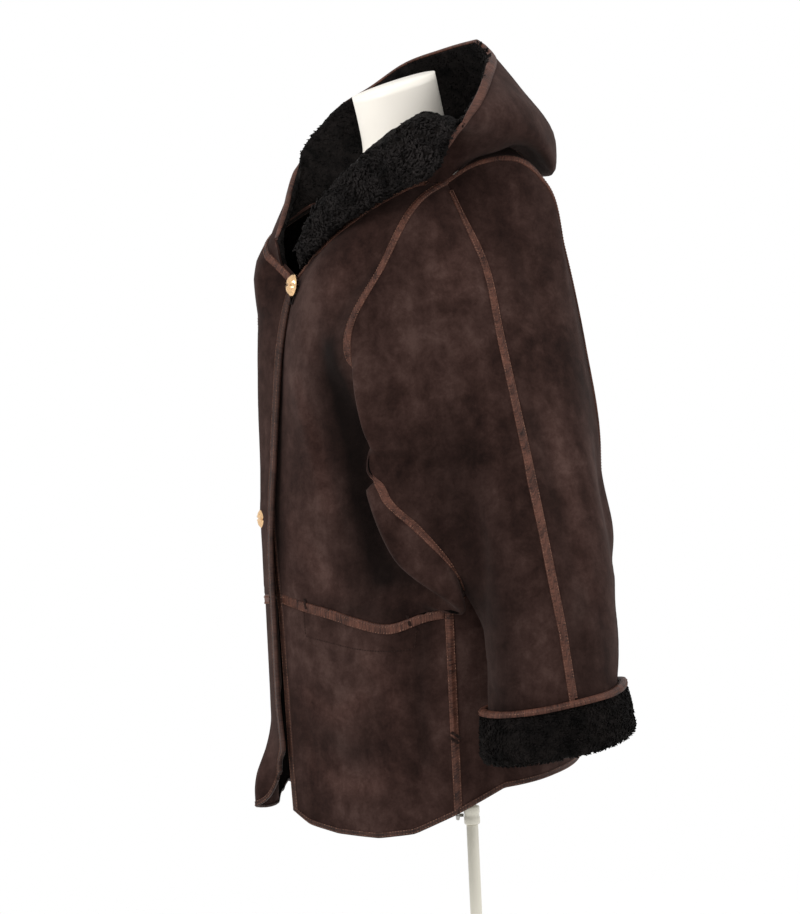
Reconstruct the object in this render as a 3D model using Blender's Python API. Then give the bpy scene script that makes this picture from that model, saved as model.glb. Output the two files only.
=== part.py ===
"""Hooded shearling coat on a limbless dress form with a pole stand. Metres, +Z up, front towards -Y.

The left half of every mirrored pair is worked out first, from tables of section points in millimetres.
A table row is one section line of a panel and a table column is one lengthwise line of it.
"""

import math

import bpy
import numpy as np

for leftover in list(bpy.data.objects):
    bpy.data.objects.remove(leftover, do_unlink=True)

# ---- driving sizes, metres ----
MM = 0.001
WALL = 2.4 * MM          # suede with its clipped wool
HOOD_SUEDE = 2.6 * MM    # leather layer of the hood and shawl edges
HOOD_FUR = 8.0 * MM      # fur layer of the hood and shawl edges
SEAM_GAP = 0.3 * MM      # between neighbouring panels
STRIP_HALF = 5.5 * MM    # half width of the leather strips
STRIP_LIFT = 0.6 * MM    # strip above its panels
STRIP_THICK = 1.3 * MM

# ---- body tube below the arms: plan section about a vertical axis, angle 0 at centre front ----
BODY_AXIS_Y = -59.0
BODY_HALF_X = 225.0
BODY_HALF_Y = 183.0
FRONT_PROW = 18.0        # how far the closing edges stand forward of the oval
PROW_ANGLE = 20.0

# hem and pocket-line heights, mm, against the angle from centre front
HEM_LINE = (
    (0, 652), (12, 634), (27, 622), (45, 620), (58, 627), (72, 650), (88, 678), (110, 683), (180, 690),
)
BACK_POCKET_HEIGHT = 903  # the side seam meets the pocket line at this height
POCKET_LINE = ((0, 916), (16, 907), (32, 898), (42, 889), (50, 882), (54, 886), (59, 895), (72, 903))
SIDE_SEAM_ANGLE = 72.5

# ---- front armhole seam of the left side: point, x, y, z ----
ARMHOLE_FRONT = (
    ("neck_point", 121, -57, 1419),
    ("raglan_high", 131, -98, 1401),
    ("raglan_mid", 144, -161, 1323),
    ("raglan_low", 151, -217, 1220),
    ("fold_valley", 165, -178, 1125),
    ("fold_crossing", 201, -221, 1075),
    ("web_mid", 225, -172, 1008),
    ("web_low", 240, -128, 948),
    ("underarm", 222, -108, 920),
)
# back armhole seam: over the shoulder behind the hood and down the back to the same underarm point
ARMHOLE_BACK = (
    ("neck_point", 121, -57, 1419),
    ("arch_front", 129, -13, 1442),
    ("arch_top", 142, 34, 1443),
    ("arch_back", 154, 66, 1410),
    ("raglan_high", 168, 79, 1330),
    ("raglan_mid", 190, 90, 1210),
    ("raglan_low", 218, 89, 1080),
    ("web", 238, 54, 968),
    ("underarm", 222, -108, 920),
)

# ---- upper front, outer surface; columns run from the closing edge to the armhole seam ----
FRONT_COLUMNS = ("edge", "inner", "mid", "outer", "valley", "crest")
FRONT_ROWS = (
    ("neckline", (0, -206, 1306), (36, -197, 1338), (70, -186, 1362),
     (97, -152, 1390), (109, -112, 1411), (113, -78, 1422)),
    ("collar", (0, -218, 1276), (37, -220, 1303), (72, -213, 1328),
     (97, -188, 1353), (113, -157, 1373), (124, -128, 1389)),
    ("chest", (0, -229, 1232), (38, -236, 1250), (74, -231, 1269),
     (104, -212, 1289), (122, -191, 1303), (134, -176, 1314)),
    ("bust", (0, -241, 1148), (40, -245, 1160), (80, -242, 1176),
     (109, -233, 1193), (128, -226, 1205), (141, -221, 1214)),
    ("waist", (0, -249, 1076), (43, -248, 1082), (84, -236, 1091),
     (114, -214, 1102), (133, -195, 1112), (150, -182, 1120)),
    ("crossing", (0, -256, 1012), (44, -252, 1014), (86, -236, 1019),
     (123, -210, 1026), (150, -172, 1038), (176, -180, 1056)),
    ("bulge", (0, -259, 972), (42, -252, 973), (84, -235, 976),
     (126, -209, 980), (167, -158, 984), (222, -200, 971)),
    ("pouch", (0, -260, 944), (41, -252, 944), (82, -234, 943),
     (127, -209, 941), (176, -162, 936), (247, -124, 902)),
    ("underarm", (0, -260, 934), (41, -252, 932), (82, -234, 928),
     (127, -210, 925), (178, -166, 921), (222, -132, 903)),
)
# side seam above the pocket line, from the underarm down
SIDE_SEAM_TOP = ((222, -108, 920), (214, -118, 912))

# ---- sleeve halves, outer surface; rows run round the arm, from the armhole or underarm seam to the
# centre seam, and follow one another down the arm. The first row is the neck point itself ----
UNDERARM_SEAM = ((222, -108, 920), (235, -62, 838), (245, -25, 735))
CENTRE_SEAM = (
    (121, -57, 1419), (148, -50, 1375), (183, -41, 1318), (228, -46, 1225), (272, -51, 1135), (293, -52, 1082),
    (318, -53, 1015), (343, -53, 940), (356, -49, 878), (366, -46, 812), (375, -42, 742),
)
SLEEVE_COLUMNS = ("first", "second", "third", "fourth")
SLEEVE_FRONT_ROWS = (
    ("raglan_high", (134, -92, 1399), (138, -83, 1395), (142, -72, 1389), (146, -60, 1382)),
    ("raglan_mid", (151, -147, 1324), (160, -126, 1325), (169, -99, 1324), (177, -69, 1321)),
    ("raglan_low", (164, -196, 1221), (183, -160, 1224), (202, -122, 1227), (218, -80, 1227)),
    ("fold_valley", (186, -220, 1119), (207, -180, 1125), (234, -122, 1130), (256, -82, 1132)),
    ("fold_crossing", (209, -184, 1079), (225, -143, 1079), (256, -104, 1079), (278, -78, 1083)),
    ("web_mid", (234, -138, 1008), (252, -118, 1008), (281, -103, 1010), (304, -79, 1012)),
    ("web_low", (249, -115, 934), (270, -110, 930), (306, -102, 933), (330, -80, 937)),
    ("underarm", (238, -100, 894), (262, -106, 890), (312, -104, 888), (341, -78, 884)),
    ("forearm", (246, -78, 828), (266, -107, 822), (318, -107, 818), (350, -78, 815)),
    ("end", (249, -68, 730), (270, -110, 727), (322, -112, 729), (356, -81, 735)),
)
SLEEVE_BACK_ROWS = (
    ("arch_front", (134, -20, 1431), (139, -29, 1417), (143, -38, 1402), (146, -45, 1388)),
    ("arch_top", (152, 26, 1428), (163, 12, 1402), (173, -6, 1372), (180, -25, 1343)),
    ("arch_back", (170, 61, 1375), (188, 49, 1332), (208, 24, 1288), (222, -12, 1253)),
    ("raglan_high", (188, 74, 1284), (212, 63, 1238), (243, 34, 1195), (262, -8, 1163)),
    ("raglan_mid", (211, 80, 1175), (236, 66, 1140), (268, 36, 1118), (288, -6, 1099)),
    ("raglan_low", (236, 80, 1064), (264, 62, 1048), (296, 34, 1034), (316, -9, 1023)),
    ("web", (250, 76, 956), (280, 66, 951), (314, 42, 947), (340, 4, 944)),
    ("underarm", (244, -8, 895), (268, 62, 886), (316, 46, 882), (350, 4, 879)),
    ("forearm", (248, 12, 826), (272, 57, 820), (322, 42, 815), (357, 2, 813)),
    ("end", (253, 18, 739), (276, 54, 746), (328, 48, 751), (366, 2, 746)),
)

# ---- back, outer surface; columns run from the centre back to the armhole or side seam ----
BACK_COLUMNS = ("centre", "inner", "middle", "outer")
BACK_ROWS = (
    ("neckline", (0, 80, 1462), (40, 72, 1462), (72, 46, 1459), (97, -2, 1448)),
    ("arch_front", (0, 95, 1449), (47, 86, 1451), (88, 55, 1451), (116, 15, 1448)),
    ("arch_top", (0, 106, 1432), (50, 98, 1435), (95, 74, 1439), (125, 53, 1442)),
    ("arch_back", (0, 118, 1395), (54, 111, 1399), (101, 95, 1404), (132, 80, 1408)),
    ("raglan_high", (0, 125, 1322), (58, 121, 1324), (105, 109, 1327), (141, 94, 1329)),
    ("raglan_mid", (0, 127, 1205), (62, 124, 1206), (114, 116, 1208), (156, 103, 1210)),
    ("raglan_low", (0, 126, 1085), (68, 121, 1084), (128, 110, 1082), (179, 97, 1080)),
    ("web", (0, 125, 985), (74, 115, 980), (140, 93, 972), (194, 64, 962)),
    ("underarm", (0, 124, 944), (74, 113, 938), (156, 74, 928), (217, -20, 916)),
)

# ---- hood and shawl edges: leather-to-fur surface, columns from the neckline to the rim ----
# the left edge is rolled over, fur outwards; the right edge leans out with its rim uppermost
HOOD_COLUMNS = ("neckline", "stand", "turn", "outer", "fall", "rim")
HOOD_LEFT = (
    ("button", (20, -203, 1326), (19, -199, 1341), (20, -202, 1352),
     (25, -212, 1352), (29, -218, 1343), (30, -219, 1334)),
    ("lapel", (37, -200, 1342), (34, -190, 1364), (34, -190, 1385),
     (41, -203, 1383), (48, -209, 1366), (49, -209, 1352)),
    ("shawl_low", (71, -188, 1366), (66, -174, 1393), (66, -172, 1420),
     (76, -184, 1419), (87, -194, 1398), (89, -194, 1380)),
    ("shawl_mid", (98, -152, 1394), (87, -146, 1424), (87, -148, 1452),
     (103, -160, 1450), (119, -171, 1423), (122, -170, 1401)),
    ("shawl_high", (110, -112, 1416), (100, -112, 1450), (104, -117, 1481),
     (127, -127, 1478), (150, -139, 1447), (155, -139, 1422)),
    ("corner", (113, -76, 1429), (110, -78, 1468), (123, -85, 1500),
     (153, -94, 1495), (180, -101, 1467), (187, -102, 1446)),
    ("side", (109, -38, 1442), (136, -38, 1463), (160, -45, 1478),
     (178, -56, 1484), (189, -68, 1484), (194, -77, 1479)),
    ("shoulder", (99, 2, 1455), (138, 6, 1460), (163, 6, 1480),
     (171, -6, 1502), (166, -20, 1514), (159, -29, 1519)),
    ("pouch_side", (78, 42, 1464), (110, 47, 1466), (145, 54, 1468),
     (143, 38, 1510), (128, 16, 1536), (118, 6, 1549)),
    ("pouch_back", (42, 71, 1466), (66, 91, 1461), (86, 111, 1430),
     (87, 113, 1468), (74, 74, 1534), (62, 42, 1577)),
    ("centre_back", (0, 80, 1465), (0, 106, 1459), (0, 139, 1424),
     (0, 155, 1464), (0, 108, 1530), (0, 57, 1596)),
)
HOOD_RIGHT = (
    ("button", (8, -218, 1328), (9, -222, 1335), (10, -225, 1341),
     (11, -227, 1347), (12, -229, 1352), (13, -230, 1357)),
    ("lapel", (37, -223, 1346), (42, -219, 1358), (46, -213, 1369),
     (50, -206, 1380), (54, -199, 1390), (58, -193, 1399)),
    ("shawl_low", (71, -191, 1366), (78, -187, 1379), (84, -183, 1391),
     (90, -178, 1402), (96, -173, 1411), (101, -168, 1419)),
    ("shawl_mid", (98, -154, 1395), (108, -152, 1409), (118, -150, 1421),
     (127, -147, 1431), (135, -143, 1440), (142, -138, 1448)),
    ("shawl_high", (110, -112, 1417), (124, -114, 1433), (138, -115, 1448),
     (150, -114, 1461), (160, -112, 1471), (168, -108, 1478)),
    ("corner", (113, -76, 1430), (132, -80, 1449), (150, -82, 1467),
     (165, -82, 1483), (176, -80, 1495), (184, -76, 1504)),
    ("side", (109, -38, 1443), (136, -38, 1464), (158, -43, 1484),
     (172, -47, 1504), (180, -49, 1518), (184, -49, 1527)),
    ("shoulder", (99, 2, 1455), (138, 6, 1460), (163, 5, 1484),
     (173, -4, 1509), (173, -13, 1532), (170, -18, 1545)),
    ("pouch_side", (78, 42, 1464), (110, 47, 1466), (146, 54, 1470),
     (147, 41, 1518), (139, 25, 1555), (133, 17, 1574)),
    ("pouch_back", (42, 71, 1466), (66, 91, 1461), (88, 111, 1432),
     (91, 108, 1476), (84, 72, 1556), (79, 48, 1589)),
    ("centre_back", (0, 80, 1465), (0, 106, 1459), (0, 139, 1424),
     (0, 155, 1464), (0, 108, 1530), (0, 57, 1596)),
)

# ---- right front: how far forward it may stand (on the centre line) and how far its chest is moved
# forward, against height, mm ----
RIGHT_COLUMNS = ("height", "limit", "chest_forward")
RIGHT_FRONT = (
    (740, -276, 0),
    (790, -264, 0),
    (880, -264, 0),
    (1000, -263, 0),
    (1080, -271, 0),
    (1133, -272, 0),
    (1220, -271, 0),
    (1260, -273, 0),
    (1280, -275, 6),
    (1308, -276, 15),
    (1331, -271, 20),
    (1355, -258, 21),
    (1375, -245, 15),
    (1400, -228, 0),
)

# ---- buttons: the front each is sewn to, width and height of its place in metres, and its shank in mm.
# The top one is on the left front, just past the right front's edge; the other is sewn down on the right ----
BUTTON_COLUMNS = ("side", "x", "z", "lift", "shank")
TOP_BUTTON = ("L", 0.022, 1.299, 1.0, 7.6)
MID_BUTTON = ("R", -0.030, 1.008, 1.1, 1.2)

# ---- dress form: height, middle, half widths in x and y, mm ----
FORM_COLUMNS = ("z", "y", "half_x", "half_y")
FORM_RINGS = (
    (806, -40, 120, 84),
    (812, -40, 150, 102),
    (835, -41, 161, 110),
    (880, -42, 166, 113),
    (950, -46, 152, 103),
    (1040, -52, 130, 90),
    (1090, -56, 129, 92),
    (1160, -62, 140, 106),
    (1230, -64, 150, 118),
    (1290, -58, 158, 110),
    (1345, -48, 162, 92),
    (1376, -46, 146.3, 80),
    (1400, -43, 108, 68),
    (1417, -44, 84, 62),
    (1438, -46, 64, 58),
    (1465, -49, 55, 55),
    (1505, -56, 52, 53),
    (1545, -64, 52, 52),
)
NECK_TILT = 0.30         # rise of the neck cap towards the back

# ---- turned-back cuff: section round the sleeve end. column counts back from the end of the sleeve
# (-1 the end, -4 the binding), beyond is past it towards the hand and out is off the sleeve, mm ----
CUFF_COLUMNS = ("column", "beyond", "out")
CUFF_SECTION = (
    (-4, 0, 0.9), (-3, 0, 0.8), (-2, 0, 0.8), (-1, -1, 0.8), (-1, 1.0, 0.0), (-1, 1.0, -5.2), (-1, 5.0, -4.5),
    (-1, 9.0, 1.5), (-1, 7.5, 8.0), (-1, 1.0, 12.5), (-2, 0, 14.0), (-3, 0, 14.0), (-4, 0, 11.0),
)
CUFF_BINDING = (
    (-4, -1.0, 2.0), (-4, -2.6, 2.0), (-4, -2.8, 10.5), (-4, -1.4, 13.6), (-4, 8.0, 16.0), (-4, 8.3, 14.6), (-4, -0.8, 12.2),
)

# ---- stand ----
BASE_PROFILE = ((0, 0), (172, 0), (175, 3), (175, 9), (168, 13), (40, 17), (22, 22), (13, 30))
CLAMP_LOW = 588
CLAMP_HIGH = 612


# ---- curves and grids ----
def through(points, steps):
    """A smooth line through points: between two of them, a cubic whose end slopes come from the
    parabola through each point and its two neighbours, spaced by the distances between them."""
    p = np.asarray(points, float)
    h = np.linalg.norm(np.diff(p, axis=0), axis=1) + 1e-12
    slope = np.diff(p, axis=0) / h[:, None]
    tangent = np.empty_like(p)
    tangent[1:-1] = (slope[:-1] * h[1:, None] + slope[1:] * h[:-1, None]) / (h[1:] + h[:-1])[:, None]
    tangent[0] = 1.5 * slope[0] - 0.5 * tangent[1] if len(p) > 2 else slope[0]
    tangent[-1] = 1.5 * slope[-1] - 0.5 * tangent[-2] if len(p) > 2 else slope[-1]
    out = []
    for i in range(len(p) - 1):
        t = np.arange(steps) / steps
        t = t[:, None]
        start = (2 * t**3 - 3 * t**2 + 1) * p[i] + (t**3 - 2 * t**2 + t) * h[i] * tangent[i]
        end = (-2 * t**3 + 3 * t**2) * p[i + 1] + (t**3 - t**2) * h[i] * tangent[i + 1]
        out.append(start + end)
    out.append(p[-1:])
    return np.concatenate(out)


def spaced_at(line, count, near=(), far=()):
    """Places along a dense line, counted in its points: its ends, the named distances from either
    end, and evenly spaced ones that make count spans between those."""
    step = np.linalg.norm(np.diff(line, axis=0), axis=1)
    run = np.concatenate([[0.0], np.cumsum(step)])
    total = run[-1]
    shrink = min(1.0, 0.42 * total / max([1e-9, *near]))
    first = [0.0] + [d * shrink for d in near]
    shrink = min(1.0, 0.48 * total / max([1e-9, *far]))
    last = [total - d * shrink for d in far] + [total]
    middle = np.linspace(first[-1], last[0], count + 1)[1:-1]
    at = np.concatenate([first, middle, last])
    return np.interp(at, run, np.arange(len(line)))


def spaced(line, count, near=(), far=()):
    at = spaced_at(line, count, near, far)
    return np.stack([np.interp(at, np.arange(len(line)), line[:, axis]) for axis in range(3)], axis=1)


def stretches(dense, parts):
    """One line split at table points; each part is (first, last, spans, near, far)."""
    pieces = []
    for first, last, count, near, far in parts:
        piece = spaced(dense[first * 12:last * 12 + 1], count, near, far)
        pieces.append(piece if not pieces else piece[1:])
    return np.concatenate(pieces)


def surface(rows, down, across):
    """A grid of points through a table of rows. down and across list, for each stretch of the table's
    rows or columns, (first, last, spans, near, far). The two border columns may turn a corner from
    one stretch to the next."""
    table = np.asarray(rows, float) * MM
    columns = []
    for j in range(table.shape[1]):
        if j in (0, table.shape[1] - 1):
            parts = []
            for first, last, count, near, far in down:
                piece = spaced(through(table[first:last + 1, j], 12), count, near, far)
                parts.append(piece if not parts else piece[1:])
            columns.append(np.concatenate(parts))
        else:
            columns.append(stretches(through(table[:, j], 12), down))
    lines = np.stack(columns, axis=1)
    return np.stack([stretches(through(line, 12), across) for line in lines])


def normals(grid):
    """Unit normal at every grid point, from the differences along and across, facing grid-outward."""
    along = np.gradient(grid, axis=0)
    over = np.gradient(grid, axis=1)
    n = np.cross(over, along)
    return n / np.linalg.norm(n, axis=2, keepdims=True)


def mirrored(grid):
    return grid * np.array([-1.0, 1.0, 1.0])


def volume(vertices, faces):
    """Signed volume of a closed mesh: a sum over its faces, each split into a fan of triangles."""
    v = np.asarray(vertices)
    total = 0.0
    for f in faces:
        for k in range(1, len(f) - 1):
            total += float(np.dot(v[f[0]], np.cross(v[f[k]], v[f[k + 1]])))
    return total / 6.0


def joined(name, colour, roughness, metal, vertices, faces):
    """One mesh object facing outwards, with its own plain material."""
    if volume(vertices, faces) < 0:
        faces = [f[::-1] for f in faces]
    mesh = bpy.data.meshes.new(name)
    mesh.from_pydata([tuple(v) for v in vertices], [], [tuple(int(i) for i in f) for f in faces])
    mesh.validate()
    mesh.update()
    material = bpy.data.materials.new(name)
    material.use_nodes = True
    shader = material.node_tree.nodes["Principled BSDF"]
    shader.inputs["Base Color"].default_value = (*colour, 1.0)
    shader.inputs["Roughness"].default_value = roughness
    shader.inputs["Metallic"].default_value = metal
    mesh.materials.append(material)
    made = bpy.data.objects.new(name, mesh)
    bpy.context.scene.collection.objects.link(made)
    return made


SUEDE = (0.050, 0.033, 0.028)
STRIP = (0.150, 0.060, 0.042)
FUR = (0.008, 0.007, 0.007)
IVORY = (0.80, 0.72, 0.60)
GOLD = (0.75, 0.45, 0.18)


def halves(points, a, b, c, d):
    """The two triangles of a four-cornered face, split along its shorter diagonal, or along the one
    that lies more in a set direction when the two are about as long."""
    one, other = points[c] - points[a], points[d] - points[b]
    length, other_length = np.linalg.norm(one), np.linalg.norm(other)
    lean = abs(one @ np.array([0.37, 0.61, 0.70])) - abs(other @ np.array([0.37, 0.61, 0.70]))
    if length < 0.97 * other_length or (lean > 0 and length < other_length / 0.97):
        return [(a, b, c), (a, c, d)]
    return [(a, b, d), (b, c, d)]


def sheet(name, colour, outer, inner, guide=None):
    """A closed wall between two grids of the same size; both faces are split as the guide grid is."""
    down, across = outer.shape[:2]
    guide = (outer if guide is None else guide).reshape(-1, 3)
    points = np.concatenate([outer.reshape(-1, 3), inner.reshape(-1, 3)])
    top = np.arange(down * across).reshape(down, across)
    low = top + down * across
    faces = []
    for i in range(down - 1):
        for j in range(across - 1):
            pair = halves(guide, top[i, j], top[i, j + 1], top[i + 1, j + 1], top[i + 1, j])
            faces += pair
            faces += [tuple(k + down * across for k in f[::-1]) for f in pair]
    rim = list(top[0, :]) + list(top[1:, -1]) + list(top[-1, -2::-1]) + list(top[-2:0:-1, 0])
    for k, a in enumerate(rim):
        b = rim[(k + 1) % len(rim)]
        far = points[a] - points[b]
        deep_a, deep_b = a + down * across, b + down * across
        if far[np.argmax(np.abs(far))] > 0:
            faces += [(b, a, deep_b), (a, deep_a, deep_b)]
        else:
            faces += [(b, a, deep_a), (b, deep_a, deep_b)]
    return joined(name, colour, 0.9, 0.0, points, faces)


def ring_solid(name, colour, rings, metal=0.0, roughness=0.9, closed=False):
    """A closed body through rings of points. Open ends are capped with a fan of their own centre;
    closed joins the last ring back to the first."""
    count, around = rings.shape[:2]
    points = list(rings.reshape(-1, 3))
    points = [np.asarray(q) for q in points]
    faces = []
    for i in range(count if closed else count - 1):
        k = (i + 1) % count
        for j in range(around):
            m = (j + 1) % around
            faces += halves(points, i * around + j, i * around + m, k * around + m, k * around + j)
    if not closed:
        points.append(rings[0].mean(axis=0))
        points.append(rings[-1].mean(axis=0))
        for j in range(around):
            m = (j + 1) % around
            faces.append((len(points) - 2, m, j))
            faces.append((len(points) - 1, (count - 1) * around + j, (count - 1) * around + m))
    return joined(name, colour, roughness, metal, points, faces)


def trim(grid, first_row=0.0, last_row=0.0, first_column=0.0, last_column=0.0):
    """The grid with its borders drawn back along the surface."""
    g = grid.copy()

    def back(edge, inside, by):
        run = np.gradient(edge, axis=0)
        run /= np.linalg.norm(run, axis=1, keepdims=True)
        d = inside - edge
        d = d - run * (d * run).sum(axis=1, keepdims=True)
        return edge + by * d / np.linalg.norm(d, axis=1, keepdims=True)

    if first_row:
        g[0] = back(g[0], g[1], first_row)
    if last_row:
        g[-1] = back(g[-1], g[-2], last_row)
    if first_column:
        g[:, 0] = back(g[:, 0], g[:, 1], first_column)
    if last_column:
        g[:, -1] = back(g[:, -1], g[:, -2], last_column)
    return g


touching = {}


def key(point):
    return tuple(np.round(np.asarray(point) * 20000).astype(int))


def touches(points, triangles, side):
    """Notes, for every point of a surface, the facing of each triangle that meets there."""
    for f in triangles:
        n = np.cross(points[f[1]] - points[f[0]], points[f[2]] - points[f[0]]) * side
        size = np.linalg.norm(n)
        if size > 1e-12:
            for i in f:
                touching.setdefault(key(points[i]), []).append(n / size)


def clearing(point, direction):
    """The move, near a direction, that takes a point one unit off every face that meets there. Faces
    that nearly face each other limit it to two units."""
    d = direction / np.linalg.norm(direction)
    faces = touching.get(key(point), [])
    for _ in range(40):
        for n in faces:
            d = d + max(0.0, 1.0 - float(n @ d)) * n
    return d * min(1.0, 2.0 / np.linalg.norm(d))


def moves(points, directions):
    return np.array([clearing(p, v) for p, v in zip(points, directions)])


def share_normals(grids, sides):
    """Ways outward at the points of neighbouring panels, the same for both where their borders meet."""
    found = {}
    facing = []
    touching.clear()
    for grid, side in zip(grids, sides):
        n = normals(grid) * side
        facing.append(n)
        for point, vector in zip(grid.reshape(-1, 3), n.reshape(-1, 3)):
            found[key(point)] = found.get(key(point), 0) + vector
        points = grid.reshape(-1, 3)
        index = np.arange(len(points)).reshape(grid.shape[:2])
        for i in range(index.shape[0] - 1):
            for j in range(index.shape[1] - 1):
                corners = index[i, j], index[i, j + 1], index[i + 1, j + 1], index[i + 1, j]
                touches(points, halves(points, *corners), side)
    for grid, n in zip(grids, facing):
        flat = n.reshape(-1, 3)
        for i, point in enumerate(grid.reshape(-1, 3)):
            flat[i] = clearing(point, found[key(point)])
    return facing


def body(angle, z, out=0.0):
    """A point of the body tube: an oval with a low ridge at its front."""
    a = math.radians(angle)
    r = 1.0 / math.hypot(math.sin(a) / BODY_HALF_X, math.cos(a) / BODY_HALF_Y)
    r += out + FRONT_PROW * math.exp(-((angle / PROW_ANGLE) ** 2))
    return (r * math.sin(a), BODY_AXIS_Y - r * math.cos(a), z)


def height(line, angle):
    return float(np.interp(angle, [a for a, _ in line], [z for _, z in line]))


# ---- left half of the panels ----
FRONT_ANGLES = (0, 14, 28, 40, 52, 66, SIDE_SEAM_ANGLE)
BACK_ANGLES = (180, 158, 132, 100, SIDE_SEAM_ANGLE)
pocket_row = [body(a, height(POCKET_LINE, a)) for a in FRONT_ANGLES]
hem_row = [body(a, height(HEM_LINE, a)) for a in FRONT_ANGLES]
lower_rows = []
for share in (0.0, 0.35, 0.7, 1.0):
    lower_rows.append([tuple(np.array(p) * (1 - share) + np.array(h) * share) for p, h in zip(pocket_row, hem_row)])
front_rows = [list(row[1:]) + [point[1:]] for row, point in zip(FRONT_ROWS, ARMHOLE_FRONT)]
tuck_row = [(0, -260, 925), (41, -252, 922), (82, -234, 916), (127, -210, 911), (180, -168, 909), (209, -134, 903)]
front_rows.append(tuck_row + [SIDE_SEAM_TOP[1]])
front_rows.append(pocket_row)

SEAM_SIDE = (STRIP_HALF,)
BINDING = (2 * STRIP_HALF,)
NECK_ROWS = (4 * MM, 14 * MM)
CUFF_RINGS = tuple(d * MM for d in (58, 38, 18))
arm_down = (0, 8, 15, NECK_ROWS, ())
side_down = (8, 10, 2, (), ())
ACROSS_FRONT = ((0, 4, 5, BINDING, ()), (4, 6, 3, (), SEAM_SIDE))

front_upper = surface(front_rows, (arm_down, side_down), ACROSS_FRONT)
front_lower = surface(lower_rows, ((0, 3, 4, BINDING, BINDING),), ACROSS_FRONT)

back_rows = [list(row[1:]) + [point[1:]] for row, point in zip(BACK_ROWS, ARMHOLE_BACK)]
back_rows.append([(0, 124, 924), (73, 114, 921), (154, 74, 913), (218, -32, 905), SIDE_SEAM_TOP[1]])
back_rows.append([body(a, z) for a, z in zip(BACK_ANGLES, (906, 904, 899, 892, BACK_POCKET_HEIGHT))])
for share in (0.35, 0.7, 1.0):
    levels = [BACK_POCKET_HEIGHT * (1 - share) + height(HEM_LINE, a) * share for a in BACK_ANGLES]
    back_rows.append([body(a, z) for a, z in zip(BACK_ANGLES, levels)])
back_half = surface(
    back_rows,
    (arm_down, side_down, (10, 13, 4, BINDING, BINDING)),
    ((0, 4, 6, (), SEAM_SIDE),),
)


# ---- sleeves; the first row is drawn back from the neck point, under the strips ----
def half_sleeve(rows, armhole):
    borders = [point[1:] for point in armhole] + list(UNDERARM_SEAM[1:])
    table = [[CENTRE_SEAM[0]] * 6]
    for row, border, centre in zip(rows, borders[1:], CENTRE_SEAM[1:]):
        table.append([border] + list(row[1:]) + [centre])
    grid = surface(table, (arm_down, (8, 10, 3, (), CUFF_RINGS)), ((0, 5, 6, SEAM_SIDE, SEAM_SIDE),))[1:]
    grid[0] = 0.3 * grid[0] + 0.7 * grid[1]
    return grid


sleeve_front = half_sleeve(SLEEVE_FRONT_ROWS, ARMHOLE_FRONT)
sleeve_back = half_sleeve(SLEEVE_BACK_ROWS, ARMHOLE_BACK)
ARM_ROWS = 18            # rows of the armhole seam, shared by all four panels round it
WEB_ROW = 14             # the strip on the back half of the seam ends here, where the seam turns under the arm


def hang(grid, top_row):
    """Sets the hem at its own height at every column and shares the change up to top_row."""
    g = grid.copy()
    angle = np.degrees(np.arctan2(g[-1, :, 0], -(g[-1, :, 1] - BODY_AXIS_Y * MM)))
    hem = np.array([height(HEM_LINE, float(a)) for a in angle]) * MM
    share = (g[:, :, 2] - g[top_row, :, 2]) / (g[-1, :, 2] - g[top_row, :, 2])
    g[:, :, 2] += np.clip(share, 0, 1) * (hem - g[-1, :, 2])
    return g


back_half = hang(back_half, -8)
front_lower = hang(front_lower, 0)


def right_front(grid):
    """The right side lies flatter than the left: its chest stands forward below the collar and its arm
    fold is eased back to a slanting limit wherever it would pass it."""
    g = grid.copy()
    x, y, z = grid[:, :, 0], grid[:, :, 1], grid[:, :, 2]
    level, limit, chest = np.array(RIGHT_FRONT, float).T * MM
    forward = np.interp(z, level, chest) * np.clip((x + 0.005) / 0.045, 0, 1) * np.clip((-0.085 - y) / 0.05, 0, 1)
    g[:, :, 1] -= forward
    d = np.interp(z, level, limit) + 0.487 * x - g[:, :, 1]
    w = 0.012
    push = np.where(d > w, d, np.where(d > -w, (d + w) ** 2 / (4 * w), 0.0))
    g[:, :, 1] += 0.93 * push * np.clip((x - 0.03) / 0.03, 0, 1)
    return g


# ---- closing edges: the right front laps over the left ----
def lap(grid, right):
    """Moves the front near its closing edge. x runs from the centre line to the garment's own side."""
    g = grid.copy()
    x, z = grid[:, :, 0], grid[:, :, 2]
    near = np.clip(1.0 - x / 0.062, 0.0, 1.0)
    if right:
        g[:, :, 0] += near * -0.012
        step = np.clip((0.100 - x) / 0.060, 0.0, 1.0)
        g[:, :, 1] -= 0.0110 * step * step * (3 - 2 * step)
        low = np.clip((0.760 - z) / 0.115, 0.0, 1.0)
        low = low * low * (3 - 2 * low)
        stand = np.exp(-(((g[:, :, 0] - 0.034) / 0.030) ** 2))
        g[:, :, 1] -= 0.029 * low * stand
        g[:, :, 2] += low * (0.018 * np.exp(-(((g[:, :, 0] + 0.012) / 0.026) ** 2)) + 0.006 * stand)
    else:
        line = np.interp(z, (0.64, 0.72, 0.82, 0.89, 0.96, 1.02), (0.030, 0.024, 0.018, 0.012, -0.004, -0.015))
        g[:, :, 0] += near * line
    return g


def front_pair(right):
    upper = lap(front_upper, right)
    lower = lap(front_lower, right)
    if right:
        upper, lower = right_front(upper), right_front(lower)
    # the pocket mouth stands open a little
    u = np.linspace(0.0, 1.0, lower.shape[1])
    mouth = np.clip((u - 0.14) / 0.14, 0, 1) * np.clip((0.86 - u) / 0.12, 0, 1)
    depth = np.clip(1.0 - (np.arange(lower.shape[0]) / 3.0), 0, 1)
    gape = 0.0010 if right else 0.0030
    lower = lower - normals(lower) * (mouth * gape)[None, :, None] * depth[:, None, None]
    return upper, lower


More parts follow.
